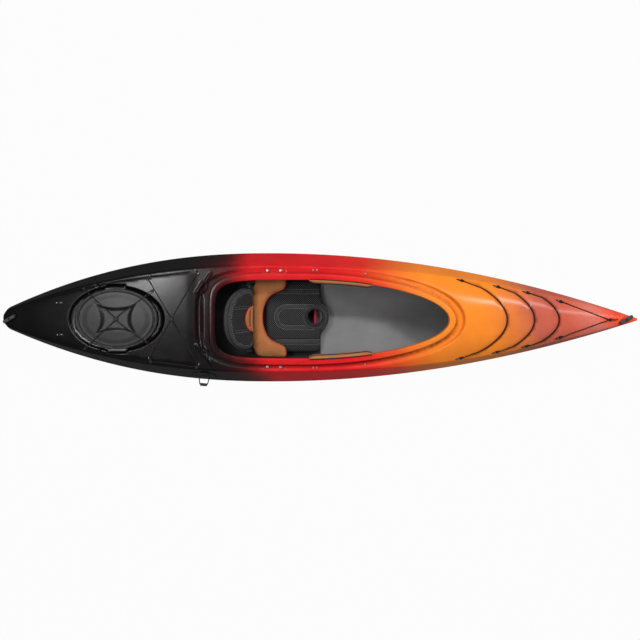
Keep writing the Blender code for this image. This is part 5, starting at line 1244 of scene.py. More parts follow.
# Lamps as name, place, aim, size and power
LAMPS = (
    ("key", (0.2, 2.8, 4.1), (0.0, 0.0, 0.2), (4.6, 0.40), 96.0),
    ("fill", (-0.4, -2.8, 3.8), (0.0, 0.0, 0.2), (4.0, 1.6), 45.0),
    ("overhead", (-0.6, 1.2, 4.4), (-0.4, 0.0, 0.2), (4.2, 0.50), 17.0),
    ("stern_glow", (-1.9, 0.45, 4.2), (-1.0, 0.15, 0.29), (1.8, 0.36), 48.0),
    ("bow_glow", (2.15, 2.65, 4.2), (1.04, 0.11, 0.36), (0.8, 0.5), 74.0),
    ("tip_glow", (3.4, 1.5, 4.2), (1.6, 0.04, 0.32), (0.8, 0.7), 60.0),
    ("deck_glow", (-1.74, 0.26, 4.2), (-0.96, 0.15, 0.29), (0.36, 0.36), 50.0),
)
SKY_COLOUR, SKY_LEVEL = (0.95, 0.97, 1.0, 1.0), 0.17
FLOOR_GLOSS = 0.08
CAMERA_AIM, CAMERA_AWAY = (0.006, -0.026, 0.0), 6.262
CAMERA_TILT, CAMERA_SPIN = radians(4.0), radians(0.05)
CAMERA_LENS, CAMERA_SENSOR, CAMERA_REACH = 56.0, 36.0, 100.0


def make_stage():
    """Adds the floor, the lamps and the camera"""
    settings = looks()
    scene = bpy.context.scene
    bpy.ops.mesh.primitive_plane_add(size=60)
    floor = bpy.context.object
    floor.name = "floor"
    pale = Paint("floor_pale", 0.9)
    rays = pale.add("LightPath").outputs
    seen = pale.math("MAXIMUM", rays["Is Camera Ray"], rays["Is Transmission Ray"])
    seen = pale.math("MAXIMUM", seen, pale.math("MULTIPLY", rays["Is Glossy Ray"], FLOOR_GLOSS))
    white = pale.add("Emission", [("Color", WHITE), ("Strength", 1.0)])
    pale.set("Base Color", tuple(settings.floor))
    share = pale.math("MULTIPLY", seen, settings.whiteness)
    mixer = pale.add("MixShader", [(0, share), (1, pale.shader.outputs[0]), (2, white.outputs[0])])
    pale.fill(pale.tree.nodes["Material Output"].inputs[0], mixer.outputs[0])
    floor.data.materials.append(pale.material)

    world = bpy.data.worlds.new("studio")
    scene.world = world
    world.use_nodes = True
    tree = world.node_tree
    dim = tree.nodes["Background"]
    dim.inputs[0].default_value = SKY_COLOUR
    dim.inputs[1].default_value = SKY_LEVEL * settings.light
    kinds = ("Background", "LightPath", "MixShader")
    bright, path, choice = (tree.nodes.new("ShaderNode" + kind) for kind in kinds)
    bright.inputs[1].default_value = 1.0
    for i, output in enumerate((path.outputs["Is Camera Ray"], dim.outputs[0], bright.outputs[0])):
        tree.links.new(output, choice.inputs[i])
    tree.links.new(choice.outputs[0], tree.nodes["World Output"].inputs[0])

    for name, place, aim, size, power in LAMPS:
        lamp = bpy.data.lights.new(name, "AREA")
        lamp.shape = "RECTANGLE"
        lamp.size, lamp.size_y = size
        lamp.energy = power * settings.light
        item = linked(name, lamp)
        item.visible_glossy = name != "fill"
        item.visible_diffuse = name != "deck_glow"
        item.location = place
        item.rotation_euler = (Vector(aim) - Vector(place)).to_track_quat("-Z", "Y").to_euler()

    lens = bpy.data.cameras.new("camera")
    lens.lens, lens.sensor_width, lens.clip_end = CAMERA_LENS, CAMERA_SENSOR, CAMERA_REACH
    scene.camera = linked("camera", lens)
    scene.camera.matrix_world = (
        Matrix.Translation(CAMERA_AIM) @ Matrix.Rotation(CAMERA_TILT, 4, "X").inverted()
        @ Matrix.Translation((0, 0, CAMERA_AWAY)) @ Matrix.Rotation(CAMERA_SPIN, 4, "Z")
    )
    scene.view_settings.view_transform = "Standard"


# Copies of one small piece at many places, and solids with rounded edges

def copies_tree():
    """Node group that sets one piece at every point, turned by the point's own attribute."""
    tree = bpy.data.node_groups.get("kayak_copies")
    if tree:
        return tree
    tree = bpy.data.node_groups.new("kayak_copies", "GeometryNodeTree")
    inputs = {"Geometry": "Geometry", "Unit": "Object", "Size": "Float", "Finish": "Material"}
    for name, kind in inputs.items():
        tree.interface.new_socket(name, in_out="INPUT", socket_type="NodeSocket" + kind)
    tree.interface.new_socket("Geometry", in_out="OUTPUT", socket_type="NodeSocketGeometry")
    start, unit, turn, euler, spread, real, paint, end = (tree.nodes.new(kind) for kind in (
        "NodeGroupInput", "GeometryNodeObjectInfo", "GeometryNodeInputNamedAttribute",
        "FunctionNodeEulerToRotation", "GeometryNodeInstanceOnPoints", "GeometryNodeRealizeInstances",
        "GeometryNodeSetMaterial", "NodeGroupOutput",
    ))
    turn.data_type = "FLOAT_VECTOR"
    turn.inputs["Name"].default_value = "turn"
    for source, output, target, place in (
        (start, "Unit", unit, "Object"), (start, "Geometry", spread, "Points"),
        (unit, "Geometry", spread, "Instance"), (turn, "Attribute", euler, 0), (euler, 0, spread, "Rotation"),
        (start, "Size", spread, "Scale"), (spread, 0, real, 0), (real, 0, paint, "Geometry"),
        (start, "Finish", paint, "Material"), (paint, 0, end, 0),
    ):
        tree.links.new(source.outputs[output], target.inputs[place])
    return tree


def copies(unit, frames, name, size=1.0):
    """One mesh with a copy of a unit at each frame, in a named finish, made with Geometry Nodes."""
    tree = copies_tree()
    points = raw([place.translation for place in frames], [])
    turns = points.attributes.new("turn", "FLOAT_VECTOR", "POINT")
    for spot, place in zip(turns.data, frames):
        spot.vector = place.to_euler()
    pattern = linked("unit", unit)
    given = {"Unit": pattern, "Size": size, "Finish": finish(name)}
    sockets = {item.name: item.identifier for item in tree.interface.items_tree if item.in_out == "INPUT"}
    inputs = [(sockets[key], value) for key, value in given.items()]
    mesh = applied(points, "NODES", inputs, node_group=tree)
    bpy.data.objects.remove(pattern)
    return mesh


def rounded(mesh, width):
    """Solid with its doubled points merged, its flat faces made whole and its edges rounded."""
    def clean(work):
        bmesh.ops.remove_doubles(work, verts=work.verts, dist=2e-5)
        bmesh.ops.dissolve_limit(work, angle_limit=radians(2), verts=work.verts, edges=work.edges)

    return bevelled(edited(mesh, clean), width)


def refined(name, width, *nodes):
    """Shows copies of rigid solids with rounded edges, in a named finish, which then stand for them."""
    for node in nodes:
        show(node + "_moulded", painted(rounded(frame["nodes"][node].data.copy(), width), name), node)


# Deck eyes, screws and cords

EYE_LONG, EYE_WIDE = 0.053, 0.028
EYE_PASS, EYE_OUT, EYE_IN = 0.0064, -0.004, 0.012
EYE_LEVELS = ((0.0, 0.97), (0.0004, 1.0), (0.0018, 1.0), (0.0027, 0.95), (0.0031, 0.86), (0.0032, 0.70))
ARCH_HALF, ARCH_FOOT, ARCH_RISE, ARCH_RADIUS = 0.0066, 0.0045, 0.0080, 0.0023
HEAD_RINGS = ((1.0, 0.0), (1.0, 0.30), (0.93, 0.66), (0.74, 0.94), (0.50, 1.0), (0.44, 0.98), (0.42, 0.30))
END_SHARE = 0.72
STEM_X, BEAD_X, FORK_X = HALF_LENGTH - 0.118, HALF_LENGTH - 0.168, HALF_LENGTH - 0.181


def eye(at):
    """Teardrop base with a domed edge, and an arch over the cord some way along it."""
    loops = []
    for z, size in EYE_LEVELS:
        loops.append([
            (EYE_LONG / 2 * size * c, EYE_WIDE / 2 * size * s * (0.58 + 0.42 * c), z) for c, s in circle(28)
        ])
    base = skin(loops, tips=[(0, 0, 0), (0, 0, EYE_LEVELS[-1][0])], sharp=60)
    turns = [pi * i / 8 for i in range(9)]
    arch = [(at, ARCH_HALF * cos(turn), ARCH_FOOT + ARCH_RISE * sin(turn)) for turn in turns]
    arch = [(at, ARCH_HALF, 0.0010), *arch, (at, -ARCH_HALF, 0.0010)]
    return joined(base, tube(smooth_route(arch, 0.002), ARCH_RADIUS, sides=10))


def screw_head(radius, height):
    """Domed head with a hexagon socket."""
    loops = []
    for share, up in HEAD_RINGS:
        loop = []
        for i in range(30):
            turn = 2 * pi * i / 30
            hexagon = cos(pi / 6) / cos((turn % (pi / 3)) - pi / 6) if share < 0.45 else 1.0
            size = radius * share * hexagon
            loop.append((size * cos(turn), size * sin(turn), height * up))
        loops.append(loop)
    return skin(loops, tips=[(0, 0, 0), (0, 0, height * 0.28)], sharp=40)


def mirrored(point, side):
    return flat(point.x, point.y * side, point.z)


def arc_spot(number, share, ahead):
    """Point before an arc's edge at a share of its half width."""
    edge, sweep = arc_sweep(number)
    return flat(edge + sweep * (1 - share**2) + ahead, share * crease_half(edge))


def front_row(number):
    """Place of a front-deck eye and the way its cord leaves it, on the port side."""
    row_x = MOAT_FRONT_X + ROW_SETBACKS[number]
    start = flat(row_x, crease_half(row_x) * ROW_SHARES[number])
    inner = flat(FORK_X, 0) if number == 3 else arc_spot(number, END_SHARE, 0.006)
    return start, (start - inner).normalized()


def bungee_ways():
    """The rear bungee's corners in the order of its run, each with the way that it passes."""
    aft_x, fore_x = HATCH_X + HATCH_LONG - 0.050, MOAT_REAR_X + 0.008
    aft, fore = flat(aft_x, crease_half(aft_x) * 0.899), flat(fore_x, crease_half(fore_x) * 0.931)
    corners = [aft, fore, mirrored(aft, -1), mirrored(fore, -1)]
    ways = []
    for i, corner in enumerate(corners):
        came = (corner - corners[i - 1]).normalized()
        goes = (corners[(i + 1) % 4] - corner).normalized()
        ways.append((corner, (came + goes).normalized()))
    return ways


def eye_spots():
    """Places and directions of every deck eye."""
    spots = []
    for start, out in (front_row(number) for number in range(4)):
        spots += [(mirrored(start, side), -mirrored(out, side)) for side in SIDES.values()]
    stern_x = HATCH_X - 0.346
    stern = flat(stern_x, crease_half(stern_x) * 0.610)
    return spots + bungee_ways() + [(mirrored(stern, side), flat(1, 0)) for side in SIDES.values()]


def seated(x, y, reach, forward):
    """Frame of a piece that sits on the deck."""
    return frame_to(*SURFACES["deck"].seat(x, y, reach), forward)


def make_eyes():
    """Sets the riveted eyes on the deck"""
    frames = [seated(spot.x, spot.y, EYE_LONG / 2, forward) for spot, forward in eye_spots()]
    ends, passed = frames[:8], frames[8:]
    rivets = [f @ Matrix.Translation((-0.0045, 0, 0.0030)) for f in ends]
    rivets += [f @ Matrix.Translation((x, 0, 0.0030)) for f in passed for x in (-0.0120, 0.0125)]
    rivet = turned(((0.0038, 0.0), (0.0038, 0.0005), (0.0032, 0.0014), (0.0018, 0.0019)), 18)
    eyes = joined(
        copies(eye(0.008), ends, "eye_black"), copies(eye(0.0), passed, "eye_black"),
        copies(rivet, rivets, "rivet"),
    )
    show("deck_eyes", eyes, *nodes_with("_eye_"))


def make_screws():
    """Sets the seat bolts and the ledge's small screws"""
    nodes = nodes_with("seat_bolt_")
    large = [seated(*middle_of(node).xy, 0.008, (1, 0.2, 0)) for node in nodes]
    places = ((-0.035, 0.292), (-0.0135, 0.292), (0.276, 0.273))
    small = [seated(x, side * y, 0.005, (1, -0.3, 0)) for x, y in places for side in SIDES.values()]
    bolts = joined(
        copies(screw_head(0.0088, 0.0036), large, "steel"),
        copies(turned(((0.0102, 0.0), (0.0102, 0.0007), (0.0090, 0.0010)), 28), large, "black"),
        copies(turned(((0.003, -0.016), (0.003, 0.0)), 12), large, "steel"),
    )
    show("seat_bolts", bolts, *nodes)
    show("ledge_screws", copies(screw_head(0.0052, 0.0026), small, "steel"), slot="steel")


def laid(route, spots, lifted=lambda point: 0.0, closed=False):
    """Lays a flat route on the deck and over the bases of the eyes it runs through."""
    deck = SURFACES["deck"]
    radius = looks().cord / 2
    places = [deck.seat(spot.x, spot.y, EYE_LONG / 2)[0] for spot in spots]
    line = []
    for point in route:
        hit, normal = deck.drop(point.x, point.y)
        height = radius + 0.0006
        for place in places:
            away = hypot(place.x - point.x, place.y - point.y)
            near = 1 - smooth_share(away, EYE_LONG * 0.62, EYE_LONG * 1.5)
            height = max(height, blend(height, EYE_PASS + (place - hit).dot(normal), near))
        line.append(hit + normal * (height + lifted(point)))
    return deck.lift(line, radius + 0.0005, closed)


def make_front_cords():
    """Lays the three cords of the front deck's steps"""
    width = looks().cord
    for number in range(3):
        start, out = front_row(number)
        route = [start + out * EYE_OUT, start - out * EYE_IN]
        for share in (END_SHARE, 0.5, 0.25, 0.0, -0.25, -0.5, -END_SHARE):
            route.append(arc_spot(number, share, 0.0025 + width / 2))
        other, way = mirrored(start, -1), mirrored(out, -1)
        route += [other - way * EYE_IN, other + way * EYE_OUT]
        path = laid(smooth_route(route, 0.007), [start, other])
        item = show(f"arc_cord_{number + 1}_braid", tube(path, width / 2, "braid"), f"arc_cord_{number + 1}")


def make_bow_cord():
    """Lays the forked cord to the bow and its bead"""
    deck = SURFACES["deck"]
    radius = looks().cord / 2
    high = 0.0089
    arms = []
    for side in SIDES.values():
        start, out = (mirrored(v, side) for v in front_row(3))
        route = [start + out * EYE_OUT, start - out * EYE_IN, flat(FORK_X, side * 0.0022)]
        arm = laid(smooth_route(route, 0.008), [start],
                   lambda p: (high - radius) * smooth_share(p.x, FORK_X - 0.05, FORK_X))
        arms.append(tube(arm, radius, "braid"))
    top, normal = deck.drop(BEAD_X, 0.0)
    level = top + normal * high
    hole, down = deck.drop(STEM_X, 0.0)
    stem = smooth_route((
        level - flat(0.016, 0), level, level + flat(0.013, 0),
        hole - flat(0.008, 0) + down * (radius + 0.001), hole - down * 0.006,
    ), 0.006)
    show("bow_cord_braid", joined(arms[0], tube(stem, radius * 0.97, "braid"), arms[1]), "bow_cord")
    rings = ((0.0030, -0.0070), (0.0058, -0.0070), (0.0074, -0.0058), (0.0080, -0.0030), (0.0080, 0.0030),
             (0.0074, 0.0058), (0.0058, 0.0070), (0.0030, 0.0070))
    turn = Matrix.Translation(level) @ Matrix.Rotation(pi / 2, 4, "Y")
    show("bow_bead_turned", placed(turned(rings, 28, "eye_black"), turn), "bow_bead")


def make_rear_bungee():
    """Lays the rear deck's crossed cord and its clip"""
    ways = bungee_ways()
    corners = [corner + way * reach for corner, way in ways for reach in (-0.008, 0.0, 0.008)]
    route = []
    for a, b in zip(corners, corners[1:] + corners[:1]):
        pieces = max(1, round((b - a).length / 0.010))
        route += [a.lerp(b, k / pieces) for k in range(pieces)]
    aft, fore = ways[0][0], ways[1][0]
    crossing = fore.x - (fore.x - aft.x) * fore.y / (fore.y + aft.y)
    width = looks().cord
    path = laid(route, [way[0] for way in ways], closed=True)
    for point in path[len(path) // 2:]:
        point.z += (width + 0.001) * (1 - smooth_share(hypot(point.x - crossing, point.y), 0.020, 0.090))
    show("rear_bungee_braid", tube(path, width / 2, "braid", closed=True), "rear_bungee")
    base = SURFACES["deck"].drop(crossing, 0.0)[0].z + 0.0004
    rings = ((0.0104, 0.0), (0.0110, 0.0008), (0.0110, 0.0068), (0.0100, 0.0074), (0.0100, 0.0090),
             (0.0110, 0.0096), (0.0110, 0.0150), (0.0102, 0.0168), (0.0078, 0.0174), (0.0046, 0.0166))
    clip = turned([(radius, base + z) for radius, z in rings], 36, "black")
    show("bungee_clip_turned", placed(clip, Matrix.Translation((crossing, 0, 0))), "bungee_clip")


# Hatch pegs and the cords over the lid

LOOP_GAP = 0.0062
LOOP_LONG = {"aft": 0.020, "fore": 0.044}
PEG_RINGS = (
    (0.0080, 0.0), (0.0085, 0.0006), (0.0085, 0.0020), (0.0074, 0.0030), (0.0042, 0.0034), (0.0031, 0.0044),
    (0.0029, 0.0108), (0.0042, 0.0118), (0.0046, 0.0130), (0.0036, 0.0139),
)


def make_hatch_cords():
    """Builds the hatch pegs and the cords over the lid"""
    spots = {}
    for end in LOOP_LONG:
        for side in SIDES:
            node = f"hatch_peg_{end}_{side}"
            spots[end, side] = flat(*middle_of(node).xy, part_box(node)[0].z)
    pegs = copies(turned(PEG_RINGS, 20), [Matrix.Translation(place) for place in spots.values()], "eye_black")
    show("hatch_pegs", pegs, *nodes_with("hatch_peg_"))
    radius = looks().cord / 2
    level = LID_TOP + radius + 0.0003
    for side, sign in SIDES.items():
        past = flat(HATCH_X, sign * 0.0095)
        parts, arms = [], []
        for end, long in LOOP_LONG.items():
            place = spots[end, side]
            foot = flat(*place.xy)
            inward = (past - foot).normalized()
            across = flat(-inward.y, inward.x)
            height = flat(0, 0, place.z + 0.0030 + radius + 0.0006)
            loop = []
            for c, s in circle(32):
                stretch = long * smooth_share(c, -0.35, 0.65)
                narrow = blend(1.0, 0.52, smooth_share(c, 0.2, 1.0))
                reach = stretch + LOOP_GAP * c
                loop.append(foot + inward * reach + across * LOOP_GAP * narrow * s + height)
            parts.append(tube(loop, radius * 0.96, "braid", sides=10, closed=True))
            start = foot + inward * (long + LOOP_GAP) + height
            collar = [start - inward * 0.004, start + inward * 0.007]
            parts.append(tube(collar, radius * 1.55, "eye_black", sides=14))
            out, share = (0.070, 0.5) if end == "fore" else (0.060, 0.72)
            step, top = foot + inward * out, foot + inward * 0.084
            step.z, top.z = blend(height.z, level, share), level
            arms.append([start, step, top])
        over = [past + flat(x, sign * y, level) for x, y in
                ((-0.030, 0.022), (-0.006, 0.0015), (0.006, 0.0015), (0.030, 0.022))]
        path = smooth_route(arms[0] + over + arms[1][::-1], 0.008)
        show(f"lid_cord_{side}_braid", joined(tube(path, radius, "braid"), *parts), f"lid_cord_{side}")


# Carry toggles

GRIP_HALF = 0.043


def toggle_barrel():
    """Grip with diamond knurling between two plain bands, and a cap on one end."""
    loops = []
    for i in range(57):
        x = -GRIP_HALF + 2 * GRIP_HALF * i / 56
        end = min(x + GRIP_HALF, GRIP_HALF - x)
        size = 0.0104 * min(1.0, 0.62 + 0.38 * smooth_share(end, 0.0, 0.004))
        knurl = smooth_share(end, 0.008, 0.010)
        loop = []
        for k in range(64):
            turn = 2 * pi * k / 64
            radius = size + 0.0006 * knurl * max(sin(8 * turn + x * 620), sin(8 * turn - x * 620))
            loop.append((x, radius * cos(turn), radius * sin(turn)))
        loops.append(loop)
    barrel = skin(loops, tips=[(-GRIP_HALF, 0, 0), (GRIP_HALF, 0, 0)], sharp=60)
    return faced(barrel, ("grip", "eye_black"), lambda middle, normal: not -0.0385 <= middle.x <= 0.0345)


def make_toggles():
    """Builds both carry toggles and their cords"""
    for end in ("bow", "stern"):
        middle = middle_of(f"{end}_toggle")
        turn = Matrix.Translation(middle) @ Matrix.Rotation(TOGGLE_TURN, 4, "Z")
        show(f"{end}_toggle_grip", placed(toggle_barrel(), turn), f"{end}_toggle")
        low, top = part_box(f"{end}_toggle_cord")[0].z, middle.z + 0.0110
        path = [(middle.x, 0, blend(low, top, i / 12)) for i in range(13)]
        knot = [
            (middle.x + 0.0028 * c, 0.0028 * s, top - 0.0005 + 0.0055 * i / 40)
            for i, (c, s) in enumerate(circle(20) * 2 + circle(20)[:1])
        ]
        cord = joined(tube(path, looks().cord / 2, "braid"), tube(knot, 0.0025, "braid", sides=10))
        show(f"{end}_toggle_cord_braid", cord, f"{end}_toggle_cord")


# Seat and pads

CUP_X, WELL_HALF, COLLAR_HALF = -0.024, 0.0505, 0.072
U_TURN_X, U_MIDDLE, U_HALF = -0.200, 0.0645, 0.0125
SIDE_SEAMS = (0.142, 0.170)
BACK_PANEL, BACK_BORDER, BACK_WRAP = 0.070, 0.030, 0.022
BACK_PLACE = Matrix.Translation((-0.425, 0, 0.205)) @ Matrix.Rotation(radians(-30.0), 4, "Y")
BACK_AXES = Matrix(((0, 0, 1, 0), (1, 0, 0, 0), (0, 1, 0, 0), (0, 0, 0, 1)))
KNUCKLE_OUT, KNUCKLE_IN, KNUCKLE_HALF = 0.0088, 0.0044, 0.183
TAB_Y, TAB_REACH = 0.026, 0.0775
SLIT_HALF, SLIT_LOW, SLIT_HIGH = 0.050, 0.050, 0.060
THIGH_X, THIGH_THICK = (-0.060, 0.322), 0.019
CLOTH_FRAMES, CLOTH_PRESSURE = 20, 4.0


def whole_line(half, spacing):
    """Closed smooth line from its port half, which starts and ends on the centre line."""
    points = [flat(x, y) for x, y in half] + [flat(x, -y) for x, y in half[-2:0:-1]]
    return smooth_route(points, spacing, closed=True)


def grown(outline, distance):
    """Closed plan line moved outwards."""
    area = sum(a.x * b.y - b.x * a.y for a, b in zip(outline, outline[1:] + outline[:1]))
    reach = distance if area > 0 else -distance
    moved = []
    for i, point in enumerate(outline):
        along = (outline[(i + 1) % len(outline)] - outline[i - 1]).normalized()
        moved.append(point + flat(along.y, -along.x) * reach)
    return moved


def stacked(outline, levels):
    """Solid through one outline at several levels, each moved outwards by its own distance."""
    return skin([[flat(p.x, p.y, z) for p in grown(outline, out)] for out, z in levels])


def swollen(mesh, cap, hold, voxel=0.005):
    """Stuffed skin: an even remesh that cloth simulation blows up, moving no point further than a cap."""
    result = applied(mesh, "REMESH", mode="VOXEL", voxel_size=voxel)
    homes = [vertex.co.copy() for vertex in result.vertices]
    scene = bpy.context.scene
    item = linked("stuffing", result)
    cloth = item.modifiers.new("cloth", "CLOTH")
    cloth.settings.use_pressure = True
    cloth.settings.uniform_pressure_force = CLOTH_PRESSURE
    cloth.settings.effector_weights.gravity = 0.0
    cloth.point_cache.frame_start = 1
    cloth.point_cache.frame_end = CLOTH_FRAMES
    for step in range(1, CLOTH_FRAMES + 1):
        scene.frame_set(step)
    result = evaluated(item)
    bpy.data.objects.remove(item)
    scene.frame_set(1)
    for vertex, home in zip(result.vertices, homes):
        move = vertex.co - home
        reach = move.length
        if reach > 1e-9:
            vertex.co = home + move * (cap * tanh(reach / cap) / reach * hold(home))
    return subdivided(result)


def sewn(mesh, lines, width, depth):
    """Draws a pad's top down along its seams."""
    points = [point for line in lines for point in smooth_route(line, 0.002)]
    tree = KDTree(len(points))
    for i, point in enumerate(points):
        tree.insert((point.x, point.y, 0), i)
    tree.balance()
    for vertex, normal in zip(mesh.vertices, [v.normal.copy() for v in mesh.vertices]):
        if normal.z > 0.2:
            away = tree.find((vertex.co.x, vertex.co.y, 0))[2]
            vertex.co.z -= depth * exp(-(away / width) ** 2)
    mesh.update()


def faced(mesh, names, choose):
    """Gives each face the finish that a rule picks from its middle and its normal."""
    painted(mesh, *names)
    for face in mesh.polygons:
        face.material_index = int(choose(face.center, face.normal))
    return mesh


def stitches(surface, lines, name):
    """Row of stitches along each line, laid on a surface below it."""
    frames = []
    for line in lines:
        points = smooth_route(line, looks().stitch)
        for a, b in zip(points, points[1:]):
            place, normal = surface.drop((a.x + b.x) / 2, (a.y + b.y) / 2)
            if place and (b - a).length > 0.001:
                frames.append(frame_to(place + normal * 0.0004, normal, b - a))
    half = looks().stitch * 0.40
    thread = turned(((0.0005, -half), (0.0010, -half * 0.7), (0.0010, half * 0.7), (0.0005, half)), 8)
    return copies(placed(thread, Matrix.Rotation(pi / 2, 4, "Y")), frames, name)


def edge_cord(surface, line, z, name, width=None, closed=False):
    """Piping that lies against a pad's edge along a line just outside of it."""
    radius = (width or looks().piping_width) / 2
    path = []
    for point in line:
        start = flat(point.x, point.y, z)
        near = surface.tree.find_nearest(start)[0]
        path.append(near + (start - near).normalized() * radius * 0.75)
    for _ in range(2):
        before, after = (path[-1], path[0]) if closed else (path[0], path[-1])
        wide = [before, *path, after]
        path = [a * 0.25 + b * 0.5 + c * 0.25 for a, b, c in zip(wide, wide[1:], wide[2:])]
    return tube(path, radius, name, sides=10, closed=closed)


def tan_pad(mesh):
    # Faces that look sideways get the same cloth 15% darker: painted shade on the pads' sides.
    return faced(mesh, ("tan_cloth", "tan_side"), lambda middle, normal: normal.z < 0.2)


def u_line(offset):
    """Seam beside the seat's U-shaped rib, from one front end round its closed rear end."""
    radius = U_MIDDLE + offset
    front = CUP_X - (sqrt(max(0.074**2 - radius**2, 0.0)) if radius < 0.074 else 0.0) - 0.006
    line = [flat(blend(front, U_TURN_X, i / 12), radius) for i in range(13)]
    bend = [pi / 2 + pi * i / 16 for i in range(1, 16)]
    line += [flat(U_TURN_X + radius * cos(turn), radius * sin(turn)) for turn in bend]
    return line + [mirrored(p, -1) for p in line[12::-1]]


def make_seat_base():
    """Builds the stuffed and sewn base pad"""
    outline = whole_line((
        (0.066, 0.0), (0.060, 0.048), (0.043, 0.080), (0.024, 0.100), (0.0165, 0.122), (0.015, 0.160),
        (0.012, 0.196), (-0.004, 0.218), (-0.035, 0.2275), (-0.150, 0.2285), (-0.300, 0.2275),
        (-0.332, 0.214), (-0.339, 0.180), (-0.339, 0.090), (-0.339, 0.0),
    ), 0.010)
    mesh = stacked(outline, (
        (-0.012, 0.0580), (-0.006, 0.0600), (-0.004, 0.0660), (-0.004, 0.0840), (-0.009, 0.0915),
        (-0.018, 0.0945),
    ))
    well = turned(((0.0550, 0.0), (0.0550, 0.2)), 48)
    mesh = cut(mesh, placed(well, Matrix.Translation((CUP_X, 0, 0))))
    mesh = swollen(mesh, 0.005, lambda p: smooth_share(p.z, 0.060, 0.075), 0.0055)
    seams = [u_line(-U_HALF), u_line(U_HALF)]
    for side in SIDES.values():
        for y, rear in zip(SIDE_SEAMS, (-0.262, -0.232)):
            seams.append([flat(x, side * y) for x in (0.008, -0.08, -0.16, rear)])
    sewn(mesh, seams, 0.0050, 0.0050)
    for vertex in mesh.vertices:
        out = flat(vertex.co.x - CUP_X, vertex.co.y)
        if out.length < WELL_HALF:
            vertex.co += out.normalized() * (WELL_HALF - out.length)

    def plain(middle, normal):
        x, y = middle.x, middle.y
        rib_away = abs(abs(y) - U_MIDDLE) if x > U_TURN_X else abs(hypot(x - U_TURN_X, y) - U_MIDDLE)
        banded = SIDE_SEAMS[0] < abs(y) < SIDE_SEAMS[1] or (rib_away < U_HALF and x < -0.07)
        return normal.z < 0.5 or banded or hypot(x - CUP_X, y) < COLLAR_HALF

    surface = Surface(faced(mesh, ("seat_mesh", "black_cloth"), plain))
    turns = [radians(a) for a in range(-62, 63, 4)]
    collar = [flat(CUP_X + 0.088 * cos(turn), 0.088 * sin(turn)) for turn in turns]
    thread = stitches(surface, seams + [collar], "grey_thread")
    show("seat_base", joined(mesh, thread), "seat_base_pad")


def make_bolster():
    """Builds the stuffed bolster and its piping"""
    inner = (
        (-0.351, 0.0), (-0.349, 0.035), (-0.339, 0.075), (-0.319, 0.114), (-0.289, 0.143), (-0.250, 0.164),
        (-0.222, 0.177), (-0.208, 0.191), (-0.2035, 0.208),
    )
    outer = (
        (-0.2035, 0.224), (-0.2080, 0.234), (-0.225, 0.2365), (-0.300, 0.2365), (-0.345, 0.235),
        (-0.378, 0.225), (-0.397, 0.202), (-0.4035, 0.165), (-0.4035, 0.100), (-0.4035, 0.0),
    )
    outline = whole_line(inner + outer, 0.010)
    mesh = stacked(outline, (
        (-0.014, 0.1015), (-0.004, 0.1060), (-0.001, 0.1180), (0.001, 0.1450), (0.002, 0.1600),
        (-0.003, 0.1700), (-0.014, 0.1755),
    ))
    foot = whole_line(((-0.358, 0.0), (-0.358, 0.146), (-0.392, 0.146), (-0.392, 0.0)), 0.02)
    mesh = joined(mesh, stacked(foot, ((0.0, 0.0565), (0.0, 0.130))))
    mesh = swollen(mesh, 0.005, lambda p: smooth_share(p.z, 0.102, 0.125))
    for vertex in mesh.vertices:
        wide = smooth_share(vertex.co.z, 0.108, 0.158) * smooth_share(abs(vertex.co.y), 0.190, 0.236)
        vertex.co.y += 0.008 * wide * (1 if vertex.co.y > 0 else -1)
    surface = Surface(tan_pad(mesh))
    port = smooth_route([flat(x, y) for x, y in inner + outer[:2]], 0.006)
    middle = flat(-0.230, 0)
    line = [
        p + (flat(0.010, 0) if abs(p.y) > 0.186 else (middle - p).normalized() * 0.008)
        for p in [mirrored(p, -1) for p in port[:0:-1]] + port
    ]
    piping = edge_cord(surface, line, 0.163, "red_piping")
    seam = [p for p in grown(outline, -0.009) if -0.360 < p.x < -0.214 and 0 < p.y < 0.222]
    thread = stitches(surface, [seam[:40]], "tan_side")
    show("hip_bolster_pad", joined(mesh, piping, thread), "hip_bolster")


def on_back(mesh):
    """Wraps a flat-laid mesh of the backrest round the paddler and stands it on the hinge."""
    for vertex in mesh.vertices:
        vertex.co.z += BACK_WRAP * (vertex.co.x / 0.18) ** 2
    mesh.transform(BACK_PLACE @ BACK_AXES)
    mesh.update()
    return mesh


